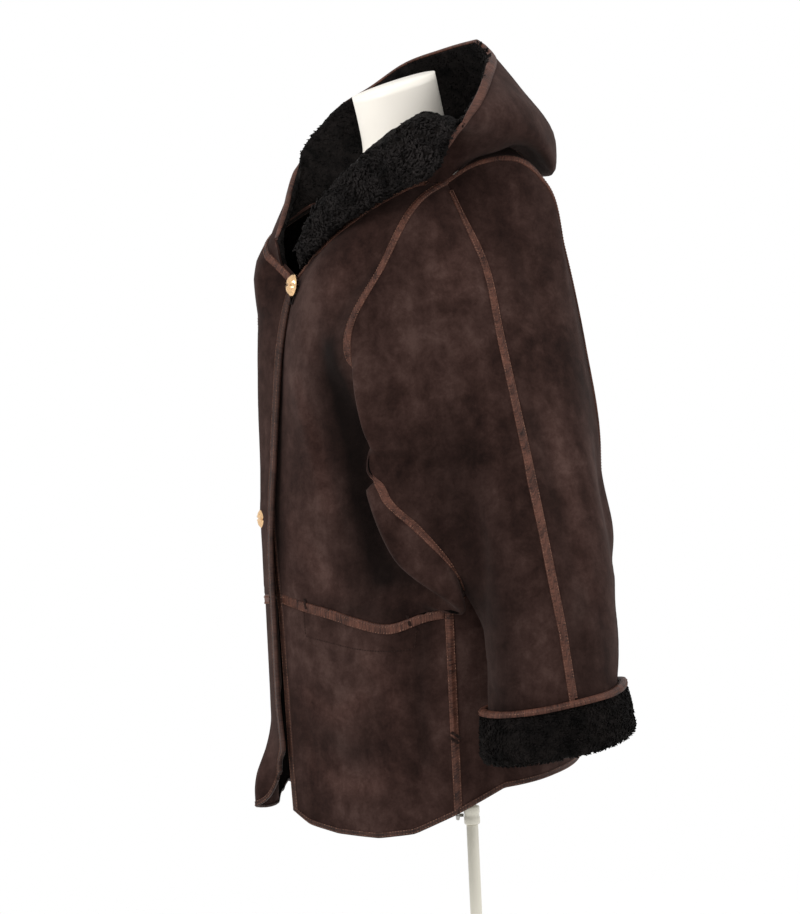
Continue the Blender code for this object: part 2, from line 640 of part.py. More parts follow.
def two_halves(grid, n):
    """Both halves of a panel that crosses the centre line."""
    whole = np.concatenate([mirrored(grid)[:, :0:-1], grid], axis=1)
    facing_both = np.concatenate([mirrored(n)[:, :0:-1], n], axis=1)
    return whole, facing_both


def strip(name, lines, mirror=False, ends=(0.0004, 0.0004), lift=STRIP_LIFT):
    """A leather strip along lines of points, each (points, ways outward) on the pieces under it."""
    rings = [p + v * lift for p, v in lines] + [p + v * (lift + STRIP_THICK) for p, v in lines[::-1]]
    rings = np.stack(rings, axis=1)
    first = rings[1] - rings[0]
    last = rings[-2] - rings[-1]
    rings[0] += ends[0] * first / np.linalg.norm(first, axis=1, keepdims=True)
    rings[-1] += ends[1] * last / np.linalg.norm(last, axis=1, keepdims=True)
    return ring_solid(name, STRIP, mirrored(rings) if mirror else rings)


def wall(n, first, last):
    """Thickness of a panel at every grid point. Seam sides are skived to half of it."""
    thick = np.full(n.shape[:2] + (1,), WALL)
    if first:
        thick[:, :2] = WALL * 0.5
    if last:
        thick[:, -2:] = WALL * 0.5
    return thick


HALF_GAP = SEAM_GAP / 2
necklines = {}
closing = {}
for side, right in (("L", False), ("R", True)):
    upper, lower = front_pair(right)
    arm_front = right_front(sleeve_front) if right else sleeve_front
    grids = [upper, lower, arm_front, sleeve_back, back_half]
    facing = share_normals(grids, (-1, -1, -1, 1, 1))
    facing[4][:, 0, 0] = 0.0
    facing[2][0, 0] = 0.3 * facing[0][1, -1] + 0.7 * facing[0][2, -1]
    facing[3][0, 0] = 0.3 * facing[4][1, -1] + 0.7 * facing[4][2, -1]
    turn = mirrored if right else (lambda grid: grid)
    upper_n, lower_n, sleeve_front_n, sleeve_back_n, back_n = facing

    body_parts = (
        ("front_upper_", upper, upper_n, (0, SEAM_GAP, 0, HALF_GAP)),
        ("front_lower_", lower, lower_n, (2 * SEAM_GAP, 0, 0, HALF_GAP)),
        ("sleeve_front_", arm_front, sleeve_front_n, (0, 0, HALF_GAP, HALF_GAP)),
        ("sleeve_back_", sleeve_back, sleeve_back_n, (0, 0, HALF_GAP, HALF_GAP)),
    )
    for name, grid, n, gaps in body_parts:
        cut = trim(grid, *gaps)
        thick = wall(n, gaps[2] > 0, gaps[3] > 0)
        if name == "front_upper_":
            thick[-3:] *= 0.6
        sheet(name + side, SUEDE, turn(cut), turn(cut - n * thick))

    # strips over the seams; the armhole strip runs from the underarm over the shoulder and down the back
    def along(front_grid, back_grid, column_front, column_back):
        return np.concatenate([front_grid[1:ARM_ROWS - 2][::-1, column_front], back_grid[1:WEB_ROW][:, column_back]])

    strip("strip_armhole_" + side, (
        (along(upper, back_half, -2, -2), along(upper_n, back_n, -2, -2)),
        (along(upper, back_half, -1, -1), along(upper_n, back_n, -1, -1)),
        (
            np.concatenate([arm_front[:ARM_ROWS - 3][::-1, 1], sleeve_back[:WEB_ROW - 1, 1]]),
            np.concatenate([sleeve_front_n[:ARM_ROWS - 3][::-1, 1], sleeve_back_n[:WEB_ROW - 1, 1]]),
        ),
    ), right)
    strip("strip_sleeve_" + side, (
        (arm_front[2:-3, -2], sleeve_front_n[2:-3, -2]),
        (arm_front[2:-3, -1], sleeve_front_n[2:-3, -1]),
        (sleeve_back[2:-3, -2], sleeve_back_n[2:-3, -2]),
    ), right, (0.0004, 0.003))
    side_front = np.concatenate([upper[ARM_ROWS:-1], lower[:-1]])
    side_front_n = np.concatenate([upper_n[ARM_ROWS:-1], lower_n[:-1]])
    side_back = back_half[ARM_ROWS:-1]
    side_back_n = back_n[ARM_ROWS:-1]
    strip("strip_side_" + side, (
        (side_front[:, -2], side_front_n[:, -2]),
        (side_back[:, -1], side_back_n[:, -1]),
        (side_back[:, -2], side_back_n[:, -2]),
    ), right)

    # bindings lie flat beside the free edges, on the outer face
    def beside(edge, inner):
        return edge + (inner - edge) * (0.0005 / np.linalg.norm(inner - edge, axis=1, keepdims=True))

    strip("strip_pocket_" + side, (
        (lower[1, 1:-1], lower_n[1, 1:-1]), (beside(lower[0, 1:-1], lower[1, 1:-1]), lower_n[0, 1:-1]),
    ), right)
    both = np.concatenate([upper[:-1], lower])
    both_n = np.concatenate([upper_n[:-1], lower_n])
    strip("strip_edge_" + side, (
        (both[:, 1], both_n[:, 1]), (beside(both[:, 0], both[:, 1]), both_n[:, 0]),
    ), right, (0.0, 0.0))
    strip("strip_neck_" + side, (
        (upper[1, 1:-3], upper_n[1, 1:-3]), (upper[2, 1:-3], upper_n[2, 1:-3]),
    ), right)
    strip("strip_hem_" + side, (
        (lower[-2, 1:], lower_n[-2, 1:]), (beside(lower[-1, 1:], lower[-2, 1:]), lower_n[-1, 1:]),
    ), right, (0.0006, 0.0004))
    # neck edge of the panels from the closing edge to the centre back: points, normals and ways upward
    necklines[side] = (
        np.concatenate([upper[0], back_half[0, -2::-1]]),
        np.concatenate([upper_n[0], back_n[0, -2::-1]]),
        np.concatenate([upper[0] - upper[1], (back_half[0] - back_half[1])[-2::-1]]),
    )
    closing[side] = (turn(upper), turn(upper_n))
    # turned-back cuff: a ring of sections round the end of the sleeve
    ring = np.concatenate([arm_front[-4:, :-1], sleeve_back[-4:, :0:-1]], axis=1).transpose(1, 0, 2)
    ring_n = np.concatenate([sleeve_front_n[-4:, :-1], sleeve_back_n[-4:, :0:-1]], axis=1).transpose(1, 0, 2)
    ring_n = ring_n / np.linalg.norm(ring_n, axis=2, keepdims=True)
    down_sleeve = ring[:, -1] - ring[:, -2]
    down_sleeve /= np.linalg.norm(down_sleeve, axis=1, keepdims=True)
    sections = []
    for column, beyond, out in CUFF_SECTION:
        sections.append(ring[:, column] + down_sleeve * (beyond * MM) + ring_n[:, column] * (out * MM))
    ring_solid("cuff_" + side, FUR, turn(np.stack(sections, axis=1)), closed=True)
    sections = []
    for column, beyond, out in CUFF_BINDING:
        sections.append(ring[:, column] + down_sleeve * (beyond * MM) + ring_n[:, column] * (out * MM))
    ring_solid("strip_cuff_" + side, STRIP, turn(np.stack(sections, axis=1)), closed=True)


back, back_facing = two_halves(back_half, back_n)
back_cut = trim(back, 0, 0, HALF_GAP, HALF_GAP)
sheet("back", SUEDE, back_cut, back_cut - back_facing * wall(back_facing, True, True))
strip("strip_hem_back", ((back[-2], back_facing[-2]), (beside(back[-1], back[-2]), back_facing[-1])))


# ---- hood ----
def on_neckline(side, point):
    """The place beside the panels' neck edge nearest to a point. In front it is above the edge and
    inside the outer face; behind the shoulder, where the hood falls over the panels, above both."""
    fine = np.linspace(0, len(necklines[side][0]) - 1, 12 * len(necklines[side][0]))
    at = np.arange(len(necklines[side][0]))
    line, n, way = (
        np.stack([np.interp(fine, at, part[:, k]) for k in range(3)], axis=1) for part in necklines[side]
    )
    k = int(np.argmin(np.linalg.norm(line - np.asarray(point) * MM, axis=1)))
    behind = np.interp(line[k, 1], (-0.10, -0.04), (0.0, 1.0))
    facing = n[k] / np.linalg.norm(n[k])
    up = np.cross(facing, line[min(k + 6, len(line) - 1)] - line[max(k - 6, 0)])
    up *= math.copysign(1.0, float(up @ way[k])) / np.linalg.norm(up)
    return line[k] + up * 0.0040 + facing * (0.0050 * behind - 0.0020)


def hood_half(table, side):
    rows = []
    for row in table:
        shift = on_neckline(side, row[1]) / MM - np.array(row[1])
        rows.append([np.array(p) + share * shift for p, share in zip(row[1:], (1, 0.8, 0.5, 0.2, 0, 0))])
    rows[-1] = [p * (0, 1, 1) for p in rows[-1]]
    down = ((0, 4, 6, (), ()), (4, 7, 7, (), ()), (7, 10, 5, (), (STRIP_HALF,)))
    grid = surface(rows, down, ((0, 5, 6, (), (8 * MM,)),))
    for line in grid:
        line[0] = on_neckline(side, line[0] / MM)
    grid[-1, 0, 0] = 0.0
    n = normals(grid)
    n[-1, :, 0] = 0.0
    n[-1] /= np.linalg.norm(n[-1], axis=1, keepdims=True)
    turn = mirrored if side == "R" else (lambda g: g)
    # n points to the fur side; the leather lies on the other
    cut = trim(grid, 0, HALF_GAP, 0, 0)
    leather = cut - n * (HALF_GAP + HOOD_SUEDE)
    sheet("hood_" + side, SUEDE, turn(cut - n * HALF_GAP), turn(leather), turn(cut))
    thick = np.full(grid.shape[:2], HOOD_FUR)
    thick[:, 0] = 0.0012
    thick[:, 1] = HOOD_FUR * 0.7
    thick[:, -1] = HOOD_FUR * 0.55
    thick[:, -2] = HOOD_FUR * 0.9
    thick[0] *= 0.6
    thick[1] *= 0.8
    fur = cut + n * (HALF_GAP + thick[:, :, None])
    sheet("hood_fur_" + side, FUR, turn(cut + n * HALF_GAP), turn(fur), turn(cut))
    return grid, n, leather, fur


hood_left = hood_half(HOOD_LEFT, "L")
hood_right = hood_half(HOOD_RIGHT, "R")


def register(points, side):
    """Notes the faces of a grid of points for the strips that lie on it."""
    flat = points.reshape(-1, 3)
    index = np.arange(len(flat)).reshape(points.shape[:2])
    for i in range(index.shape[0] - 1):
        for j in range(index.shape[1] - 1):
            a, b, c, d = index[i, j], index[i, j + 1], index[i + 1, j + 1], index[i + 1, j]
            touches(flat, [(a, b, c), (a, c, d), (a, b, d), (b, c, d)], side)


touching.clear()
register(hood_left[2], -1)
register(hood_right[2], -1)
left_leather, right_leather = hood_left[2], hood_right[2]
ridge = left_leather[-1, 1:-2] * (0, 1, 1)
ridge_n = -hood_left[1][-1, 1:-2]
left_moves = moves(left_leather[-2, 1:-2], -hood_left[1][-2, 1:-2])
right_moves = mirrored(moves(right_leather[-2, 1:-2], -hood_right[1][-2, 1:-2]))
strip("strip_hood_centre", (
    (left_leather[-2, 1:-2], left_moves), (ridge, ridge_n), (mirrored(right_leather[-2, 1:-2]), right_moves),
))


def rim_line(hood, turned):
    """Sections of the rim binding along one half: it covers the cut edges of the leather and the fur."""
    grid, n, leather, fur = hood
    touching.clear()
    register(np.stack([leather[:, -1], fur[:, -1]], axis=1), -1)
    out = grid[:, -1] - grid[:, -2]
    places = (leather[:, -1], fur[:, -1])
    ways = [moves(points, out) for points in places]
    lift = 2.4 * STRIP_LIFT
    low = [points + way * lift for points, way in zip(places, ways)]
    high = [points + way * (lift + STRIP_THICK) for points, way in zip(places, ways)]
    rings = np.stack(low + high[::-1], axis=1)
    return mirrored(rings) if turned else rings


left_rim = rim_line(hood_left, False)
right_rim = rim_line(hood_right, True)
middle_rim = (left_rim[-1:] + right_rim[-1:]) / 2
ring_solid("strip_hood_rim", STRIP, np.concatenate([left_rim[:-1], middle_rim, right_rim[-2::-1]]))

# ---- dress form and stand ----
rings = []
for z, y, half_x, half_y in FORM_RINGS:
    ring = []
    for k in range(24):
        a = 2 * math.pi * k / 24
        px = half_x * math.copysign(abs(math.sin(a)) ** 0.9, math.sin(a))
        py = -half_y * math.copysign(abs(math.cos(a)) ** 0.95, math.cos(a))
        tilt = NECK_TILT * py * min(1.0, max(0.0, (z - 1465) / 80.0))
        ring.append((px * MM, (y + py) * MM, (z + tilt) * MM))
    rings.append(ring)
ring_solid("form", IVORY, np.array(rings), 0.0, 0.45)


def turned_rings(profile, around):
    """Rings of points round the Z axis, one for each (radius, height) of a profile."""
    rings = []
    for radius, z in profile:
        r = max(radius, 0.05)
        angles = [2 * math.pi * k / around for k in range(around)]
        rings.append([(r * MM * math.cos(a), r * MM * math.sin(a), z * MM) for a in angles])
    return np.array(rings)


ring_solid("base", IVORY, turned_rings(BASE_PROFILE[1:], 40), 0.0, 0.4)
ring_solid("pole_lower", IVORY, turned_rings(((7.7, 30.3), (7.7, CLAMP_LOW - 0.3)), 20), 0.0, 0.35)
ring_solid("pole_upper", IVORY, turned_rings(((6.3, CLAMP_HIGH + 0.3), (6.3, 805.7)), 20), 0.0, 0.35)
clamp = turned_rings(((9.0, CLAMP_LOW), (11.0, CLAMP_LOW + 2), (11.0, CLAMP_HIGH - 2), (9.0, CLAMP_HIGH)), 20)
ring_solid("pole_clamp", (0.25, 0.16, 0.10), clamp, 0.0, 0.5)
screw = turned_rings(((2.4, 11.3), (2.4, 16.0), (6.0, 16.6), (6.5, 19.0), (5.0, 22.0)), 12)
away = np.array([-0.438, -0.899, 0.0])
aside = np.array([0.899, -0.438, 0.0])
screw = screw[:, :, 2:] * away + screw[:, :, 0:1] * aside + screw[:, :, 1:2] * np.array([0.0, 0.0, 1.0])
screw = screw + np.array([0.0, 0.0, 0.600])
ring_solid("thumb_screw", (0.25, 0.16, 0.10), screw, 0.6, 0.4)

# ---- buttons and the loop of the top one ----
# radius, and height over the top of the shank
BUTTON_PROFILE = ((11.0, 0.2), (14.5, 2.0), (14.3, 3.0), (11.5, 5.0), (7.0, 6.6), (2.5, 7.3))
SHANK_RADIUS = 2.6


def seat(side, x, z):
    """Where the outer face of a front is at a width and height, with its normal there."""
    grid, n = closing[side]
    best = None
    for i in range(grid.shape[0] - 1):
        for j in range(grid.shape[1] - 1):
            for a in np.linspace(0, 1, 9):
                for b in np.linspace(0, 1, 9):
                    above = (1 - b) * grid[i, j] + b * grid[i, j + 1]
                    below = (1 - b) * grid[i + 1, j] + b * grid[i + 1, j + 1]
                    q = (1 - a) * above + a * below
                    far = math.hypot(q[0] - x, q[2] - z)
                    if best is None or far < best[0]:
                        best = (far, q, n[i, j])
    return best[1], best[2] / np.linalg.norm(best[2])


def button(name, side, x, z, lift, shank):
    place, face = seat(side, x, z)
    face = face + np.array([0.0, -2.0, 0.0])
    face /= np.linalg.norm(face)
    dome = [(radius, shank + rise) for radius, rise in BUTTON_PROFILE]
    rings = turned_rings([(SHANK_RADIUS, 0.0), (SHANK_RADIUS, shank), *dome], 20)
    sideways = np.cross(np.array([0.0, 0.0, 1.0]), face)
    sideways /= np.linalg.norm(sideways)
    up = np.cross(face, sideways)
    made = (rings[:, :, 2:] + lift * MM) * face + rings[:, :, 0:1] * sideways + rings[:, :, 1:2] * up
    ring_solid(name, GOLD, made + place, 0.9, 0.3)
    return place, face, sideways, up


place, face, sideways, up = button("button_top", *TOP_BUTTON)
button("button_mid", *MID_BUTTON)

# the loop comes from the right front's edge, round the shank and down past the button
LOOP_HALF_WIDTH = 6.5
LOOP_HALF_LENGTH = 13.5
LOOP_MIDDLE = -9.5       # middle of the loop under the button's own
LOOP_LIFT = 6.4
LOOP_RADIUS = 1.1
rings = []
for k in range(24):
    a = 2 * math.pi * k / 24
    across = LOOP_HALF_WIDTH * math.sin(a)
    along_up = LOOP_MIDDLE + LOOP_HALF_LENGTH * math.cos(a)
    outwards = np.array([math.sin(a) * LOOP_HALF_LENGTH, math.cos(a) * LOOP_HALF_WIDTH])
    outwards /= np.linalg.norm(outwards)
    middle = place + (sideways * across + up * along_up + face * LOOP_LIFT) * MM
    outer_way = sideways * outwards[0] + up * outwards[1]
    ring = []
    for m in range(6):
        b = 2 * math.pi * m / 6
        ring.append(middle + (outer_way * math.cos(b) + face * math.sin(b)) * LOOP_RADIUS * MM)
    rings.append(ring)
ring_solid("loop_top", (0.02, 0.014, 0.012), np.array(rings), 0.0, 0.8, True)
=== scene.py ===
"""Looks of a hooded shearling coat on a limbless dress form with a pole stand.

Metres, +Z up, the coat's front towards -Y and its own left side towards +X. Tables of section points
are in millimetres. The script goes in the order in which the coat is put together.
"""

import math

import bpy
import numpy as np
from mathutils import Matrix


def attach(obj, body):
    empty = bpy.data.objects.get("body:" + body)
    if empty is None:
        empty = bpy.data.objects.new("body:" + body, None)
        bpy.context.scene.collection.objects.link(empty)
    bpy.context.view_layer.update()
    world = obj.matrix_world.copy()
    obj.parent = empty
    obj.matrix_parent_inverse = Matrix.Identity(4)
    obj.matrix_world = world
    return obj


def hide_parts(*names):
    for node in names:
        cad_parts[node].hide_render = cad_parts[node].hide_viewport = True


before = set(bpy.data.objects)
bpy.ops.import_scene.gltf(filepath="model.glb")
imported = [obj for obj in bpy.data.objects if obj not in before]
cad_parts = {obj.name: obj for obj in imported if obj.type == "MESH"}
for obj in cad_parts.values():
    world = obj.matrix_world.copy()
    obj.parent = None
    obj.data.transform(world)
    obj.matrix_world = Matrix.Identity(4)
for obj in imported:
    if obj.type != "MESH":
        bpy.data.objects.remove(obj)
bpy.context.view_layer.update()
MM = 0.001
SIDES = (("L", False), ("R", True))      # both are built on the left, and the right one is mirrored


# ---- Room: a pale floor that fades into a white room, two large soft lamps and the camera.
# The camera stands 64 degrees round to the coat's left, above its middle, and is rolled 2.7 degrees.
FLOOR_RADIUS = 3.2
FLOOR_FADE = (1.0, 2.4)
CAMERA_TURN = math.radians(64)
CAMERA_ROLL = math.radians(2.7)
CAMERA_DISTANCE = 4.0
CAMERA_HEIGHT = 1.40
AIM_HEIGHT = 1.07
AIM_SIDEWAYS = -0.0713
LENS = 140.4


def add(tree, kind, *values, **named):
    """A shader node. Values go to its sockets in order, or by name; a node's output is linked to its
    socket. A name that no socket has is a setting of the node, and comes before the sockets it opens."""
    made = tree.nodes.new(kind)
    given = list(zip(made.inputs, values))
    for name, value in named.items():
        label = name.replace("_", " ")
        if label in made.inputs:
            given.append((made.inputs[label], value))
        else:
            setattr(made, name, value)
    for socket, value in given:
        if isinstance(value, bpy.types.NodeSocket):
            tree.links.new(value, socket)
        else:
            socket.default_value = value
    return made


def finish_of(name, **values):
    """A new material with its node tree and its principled shader, whose sockets take the values."""
    made = bpy.data.materials.new(name)
    made.use_nodes = True
    shader = made.node_tree.nodes["Principled BSDF"]
    for socket, value in values.items():
        shader.inputs[socket.replace("_", " ")].default_value = value
    return made, made.node_tree, shader


def unit(ways):
    """Vectors brought to a length of one."""
    return ways / (np.linalg.norm(ways, axis=-1, keepdims=True) + 1e-15)


def build_floor():
    """A disc on z = 0 whose white paint thins out to nothing between the two radii of FLOOR_FADE."""
    turns = np.linspace(0, 2 * math.pi, 97)[:-1]
    points = [(FLOOR_RADIUS * math.cos(a), FLOOR_RADIUS * math.sin(a), 0.0) for a in turns]
    mesh = bpy.data.meshes.new("floor")
    mesh.from_pydata(points, [], [tuple(range(len(points)))])
    floor = bpy.data.objects.new("floor", mesh)
    bpy.context.scene.collection.objects.link(floor)
    paint, tree, shader = finish_of("floor_paint", Base_Color=(0.88, 0.88, 0.87, 1), Roughness=0.8)
    place = add(tree, "ShaderNodeTexCoord").outputs["Object"]
    reach = add(tree, "ShaderNodeVectorMath", place, operation="LENGTH").outputs["Value"]
    fade = add(tree, "ShaderNodeMapRange", reach, *FLOOR_FADE, interpolation_type="SMOOTHSTEP")
    clear = add(tree, "ShaderNodeBsdfTransparent").outputs["BSDF"]
    mix = add(tree, "ShaderNodeMixShader", fade.outputs["Result"], shader.outputs["BSDF"], clear)
    tree.links.new(mix.outputs["Shader"], tree.nodes["Material Output"].inputs["Surface"])
    mesh.materials.append(paint)


def build_lamp(name, at, aim, size, power):
    """A round lamp that shines at its aim."""
    data = bpy.data.lights.new(name, "AREA")
    data.shape = "DISK"
    data.size = size
    data.energy = power
    lamp = bpy.data.objects.new(name, data)
    way = np.subtract(aim, at)
    lamp.location = at
    lamp.rotation_euler = (math.atan2(math.hypot(way[0], way[1]), -way[2]), 0.0, math.atan2(-way[0], way[1]))
    bpy.context.scene.collection.objects.link(lamp)


def build_camera():
    """Looks from CAMERA_TURN round the form to a point AIM_SIDEWAYS beside its pole, and is rolled."""
    right = np.array([math.cos(CAMERA_TURN), math.sin(CAMERA_TURN), 0.0])
    out = np.array([math.sin(CAMERA_TURN), -math.cos(CAMERA_TURN), 0.0])
    aim = AIM_SIDEWAYS * right + (0, 0, AIM_HEIGHT)
    at = AIM_SIDEWAYS * right + CAMERA_DISTANCE * out + (0, 0, CAMERA_HEIGHT)
    forward = unit(aim - at)
    side = unit(np.cross(forward, (0, 0, 1)))
    up = np.cross(side, forward)
    rolled_side = side * math.cos(CAMERA_ROLL) - up * math.sin(CAMERA_ROLL)
    rolled_up = side * math.sin(CAMERA_ROLL) + up * math.cos(CAMERA_ROLL)
    data = bpy.data.cameras.new("camera")
    data.sensor_fit = "HORIZONTAL"
    data.sensor_width = 36
    data.lens = LENS
    camera = bpy.data.objects.new("camera", data)
    place = np.eye(4)
    place[:3] = np.stack([rolled_side, rolled_up, -forward, at], axis=1)
    camera.matrix_world = Matrix(place.tolist())
    bpy.context.scene.collection.objects.link(camera)
    bpy.context.scene.camera = camera


build_floor()
build_camera()
build_lamp("key_lamp", (1.2, -3.4, 3.4), (0, 0, 1.1), 2.4, 95)
build_lamp("rim_lamp", (2.2, 2.6, 2.8), (0, 0, 1.1), 2.0, 40)
world = bpy.data.worlds.new("white_room")
world.use_nodes = True
world.node_tree.nodes["Background"].inputs["Color"].default_value = (1, 1, 1, 1)
world.node_tree.nodes["Background"].inputs["Strength"].default_value = 1.0
bpy.context.scene.world = world
bpy.context.scene.view_settings.view_transform = "Standard"


# ---- Fronts: each side has an upper panel from the neck to the pocket line and a lower panel from there to
# the hem, of brown suede with clipped wool inside. The raglan fold stands over a deep valley at the arm.
WALL = 2.4 * MM
BODY_AXIS_Y = -59.0
BODY_HALF_X = 225.0
BODY_HALF_Y = 183.0
FRONT_PROW = 18.0
PROW_ANGLE = 20.0
SIDE_SEAM_ANGLE = 72.5
HEM_LINE = (
    (0, 643), (12, 629), (27, 621), (45, 620), (58, 627), (72, 650), (88, 678), (110, 683), (180, 690),
)
POCKET_LINE = ((0, 916), (16, 907), (32, 898), (42, 889), (50, 882), (54, 886), (59, 895), (72, 903))
ARMHOLE_FRONT = (
    (121, -57, 1419), (131, -98, 1401), (144, -161, 1323), (151, -217, 1220), (160, -196, 1172),
    (165, -178, 1125), (187, -213, 1098), (201, -221, 1075), (206, -209, 1060), (211, -203, 1043),
    (225, -172, 1008), (240, -128, 948), (222, -108, 920),
)
# one row of a table is one section across the panel, from the closing edge to the armhole seam
FRONT_ROWS = (
    ("neckline", (0, -206, 1306), (36, -197, 1338), (70, -186, 1362),
        (97, -152, 1390), (109, -112, 1411), (113, -78, 1422)),
    ("collar", (0, -218, 1276), (37, -220, 1303), (72, -213, 1328),
        (97, -188, 1353), (113, -157, 1373), (124, -128, 1389)),
    ("chest", (0, -229, 1232), (38, -236, 1250), (74, -231, 1269),
        (104, -212, 1289), (122, -191, 1303), (134, -176, 1314)),
    ("bust", (0, -241, 1148), (40, -245, 1160), (80, -242, 1176),
        (109, -233, 1193), (128, -226, 1205), (141, -221, 1214)),
    ("fold_top", (0, -245, 1112), (42, -247, 1121), (82, -239, 1133),
        (112, -224, 1148), (130, -211, 1158), (145, -205, 1166)),
    ("waist", (0, -249, 1076), (43, -248, 1082), (84, -236, 1091),
        (114, -214, 1102), (133, -195, 1112), (150, -182, 1120)),
    ("fold_mid", (0, -253, 1044), (43, -250, 1048), (85, -236, 1055),
        (118, -212, 1064), (141, -182, 1076), (162, -180, 1088)),
    ("crossing", (0, -256, 1012), (44, -252, 1014), (86, -236, 1019),
        (123, -210, 1026), (150, -172, 1040), (177, -182, 1066)),
    ("fold_edge", (0, -257, 1002), (43, -252, 1003), (85, -236, 1008),
        (123, -210, 1015), (152, -168, 1030), (198, -219, 1057)),
    ("web_top", (0, -258, 992), (43, -252, 993), (86, -236, 998),
        (124, -210, 1003), (158, -166, 1012), (202, -217, 1036)),
    ("bulge", (0, -259, 972), (42, -252, 973), (84, -235, 976),
        (126, -209, 980), (167, -158, 984), (222, -200, 971)),
    ("pouch", (0, -260, 944), (41, -252, 944), (82, -234, 943),
        (127, -209, 941), (176, -162, 936), (247, -124, 902)),
    ("underarm", (0, -260, 934), (41, -252, 932), (82, -234, 928),
        (127, -210, 925), (178, -166, 921), (222, -132, 903)),
    ("tuck", (0, -260, 925), (41, -252, 922), (82, -234, 916),
        (127, -210, 911), (180, -168, 909), (209, -134, 903)),
)
UNDERARM = 12            # table row of the armhole's lowest point
SIDE_SEAM_TOP = (214, -118, 912)
FRONT_ANGLES = (0, 14, 28, 40, 52, 66, SIDE_SEAM_ANGLE)
# right front: height, how far forward it may stand on the centre line, how far its chest is moved forward
RIGHT_FRONT = (
    (740, -276, 0), (790, -264, 0), (880, -264, 0), (1000, -263, 0), (1080, -271, 0),
    (1133, -272, 0), (1220, -271, 0), (1260, -273, 0), (1280, -275, 6), (1308, -276, 15),
    (1331, -271, 20), (1355, -258, 21), (1375, -245, 15), (1400, -228, 0),
)
# closing edges, in metres: how far in from the centre line they draw the cloth along with them. The right
# one laps over the left one and stands forward of it, and flares out below FLARE_TOP
LAP_REACH = 0.062
LAP_OVER = 0.012
LAP_FORWARD = 0.011
FLARE_TOP = 0.760
FLARE_FADE = 0.115
FLARE = 0.029
LEFT_EDGE = ((0.64, 0.72, 0.82, 0.89, 0.96, 1.02), (0.019, 0.012, 0.008, 0.004, -0.006, -0.015))
# how fast the right side's limit runs back with x, how softly it sets in and how much of the rest it takes
LIMIT_SLANT = 0.487
LIMIT_EASE = 0.012
LIMIT_SHARE = 0.93
CLOTH_SPACING = 5.0 * MM


def through(points, steps):
    """Smooth lines through rows of points, steps places to a span: between two rows a cubic whose end
    slopes are those of the parabola through each point and its neighbours, spaced by their distances."""
    p = np.asarray(points, float)
    span = np.diff(p, axis=0)
    h = np.linalg.norm(span, axis=-1, keepdims=True) + 1e-12
    slope = span / h
    middle = (slope[:-1] * h[1:] + slope[1:] * h[:-1]) / (h[1:] + h[:-1])
    if len(p) > 2:
        ends = 1.5 * slope[:1] - 0.5 * middle[:1], 1.5 * slope[-1:] - 0.5 * middle[-1:]
    else:
        ends = slope[:1], slope[-1:]
    tangent = np.concatenate([ends[0], middle, ends[1]])
    steps = np.broadcast_to(steps, len(h))
    at = np.concatenate([i + np.arange(n) / n for i, n in enumerate(steps)] + [[len(h)]])
    i = np.minimum(at.astype(int), len(h) - 1)
    t = (at - i).reshape(-1, *([1] * (p.ndim - 1)))
    start = (2 * t**3 - 3 * t**2 + 1) * p[i] + (t**3 - 2 * t**2 + t) * h[i] * tangent[i]
    return start + (-2 * t**3 + 3 * t**2) * p[i + 1] + (t**3 - t**2) * h[i] * tangent[i + 1]


def sideways(grid):
    """A grid with its rows and columns exchanged."""
    return grid.transpose(1, 0, 2)


def cloth_grid(table, turns=(), spacing=CLOTH_SPACING, across=None):
    """A fine grid through a table of sections, first down its columns and then across them, with across
    places to each column span. The two border columns may turn a corner at the table rows in turns. Also
    gives each table row's grid row."""
    p = np.asarray(table, float) * MM
    down = np.ceil(np.linalg.norm(np.diff(p, axis=0), axis=-1).mean(axis=1) / spacing).astype(int).clip(3)
    if across is None:
        span = np.linalg.norm(np.diff(p, axis=1), axis=-1).mean(axis=0)
        across = np.ceil(span / spacing).astype(int).clip(3)
    grid = through(p, down)
    cuts = [0, *turns, len(p) - 1]
    for side in (0, -1):
        parts = [through(p[a:b + 1, side], down[a:b]) for a, b in zip(cuts, cuts[1:])]
        grid[:, side] = np.concatenate([part[:-1] for part in parts[:-1]] + [parts[-1]])
    marks = np.concatenate([[0], np.cumsum(down)])
    return sideways(through(sideways(grid), across)), marks


def ways_out(grid, side):
    """Unit ways off a grid's face: the cross product of its differences across and down, times side."""
    return unit(np.cross(np.gradient(grid, axis=1), np.gradient(grid, axis=0)) * side)


def bell(x, middle, half_width):
    """One at the middle, falling off on both sides to 1/e at the half width."""
    return np.exp(-(((x - middle) / half_width) ** 2))


def softened(t):
    """A share from 0 to 1 with level ends."""
    t = t.clip(0, 1)
    return t * t * (3 - 2 * t)


def on_body(angle, z):
    """A point of the body tube: an oval about a vertical axis with a low ridge at its front."""
    a = np.radians(angle)
    r = 1.0 / np.hypot(np.sin(a) / BODY_HALF_X, np.cos(a) / BODY_HALF_Y)
    r += FRONT_PROW * bell(angle, 0, PROW_ANGLE)
    return r * np.sin(a), BODY_AXIS_Y - r * np.cos(a), z


def level(line, angle):
    """The height of a line given by angles and heights."""
    return np.interp(angle, [a for a, _ in line], [z for _, z in line])


def hang(grid, top_row):
    """Sets the hem at its own height at every column and shares the change up to top_row."""
    g = grid.copy()
    angle = np.degrees(np.arctan2(g[-1, :, 0], BODY_AXIS_Y * MM - g[-1, :, 1]))
    hem = level(HEM_LINE, angle) * MM
    share = (g[:, :, 2] - g[top_row, :, 2]) / (g[-1, :, 2] - g[top_row, :, 2])
    g[:, :, 2] += share.clip(0, 1) * (hem - g[-1, :, 2])
    return g


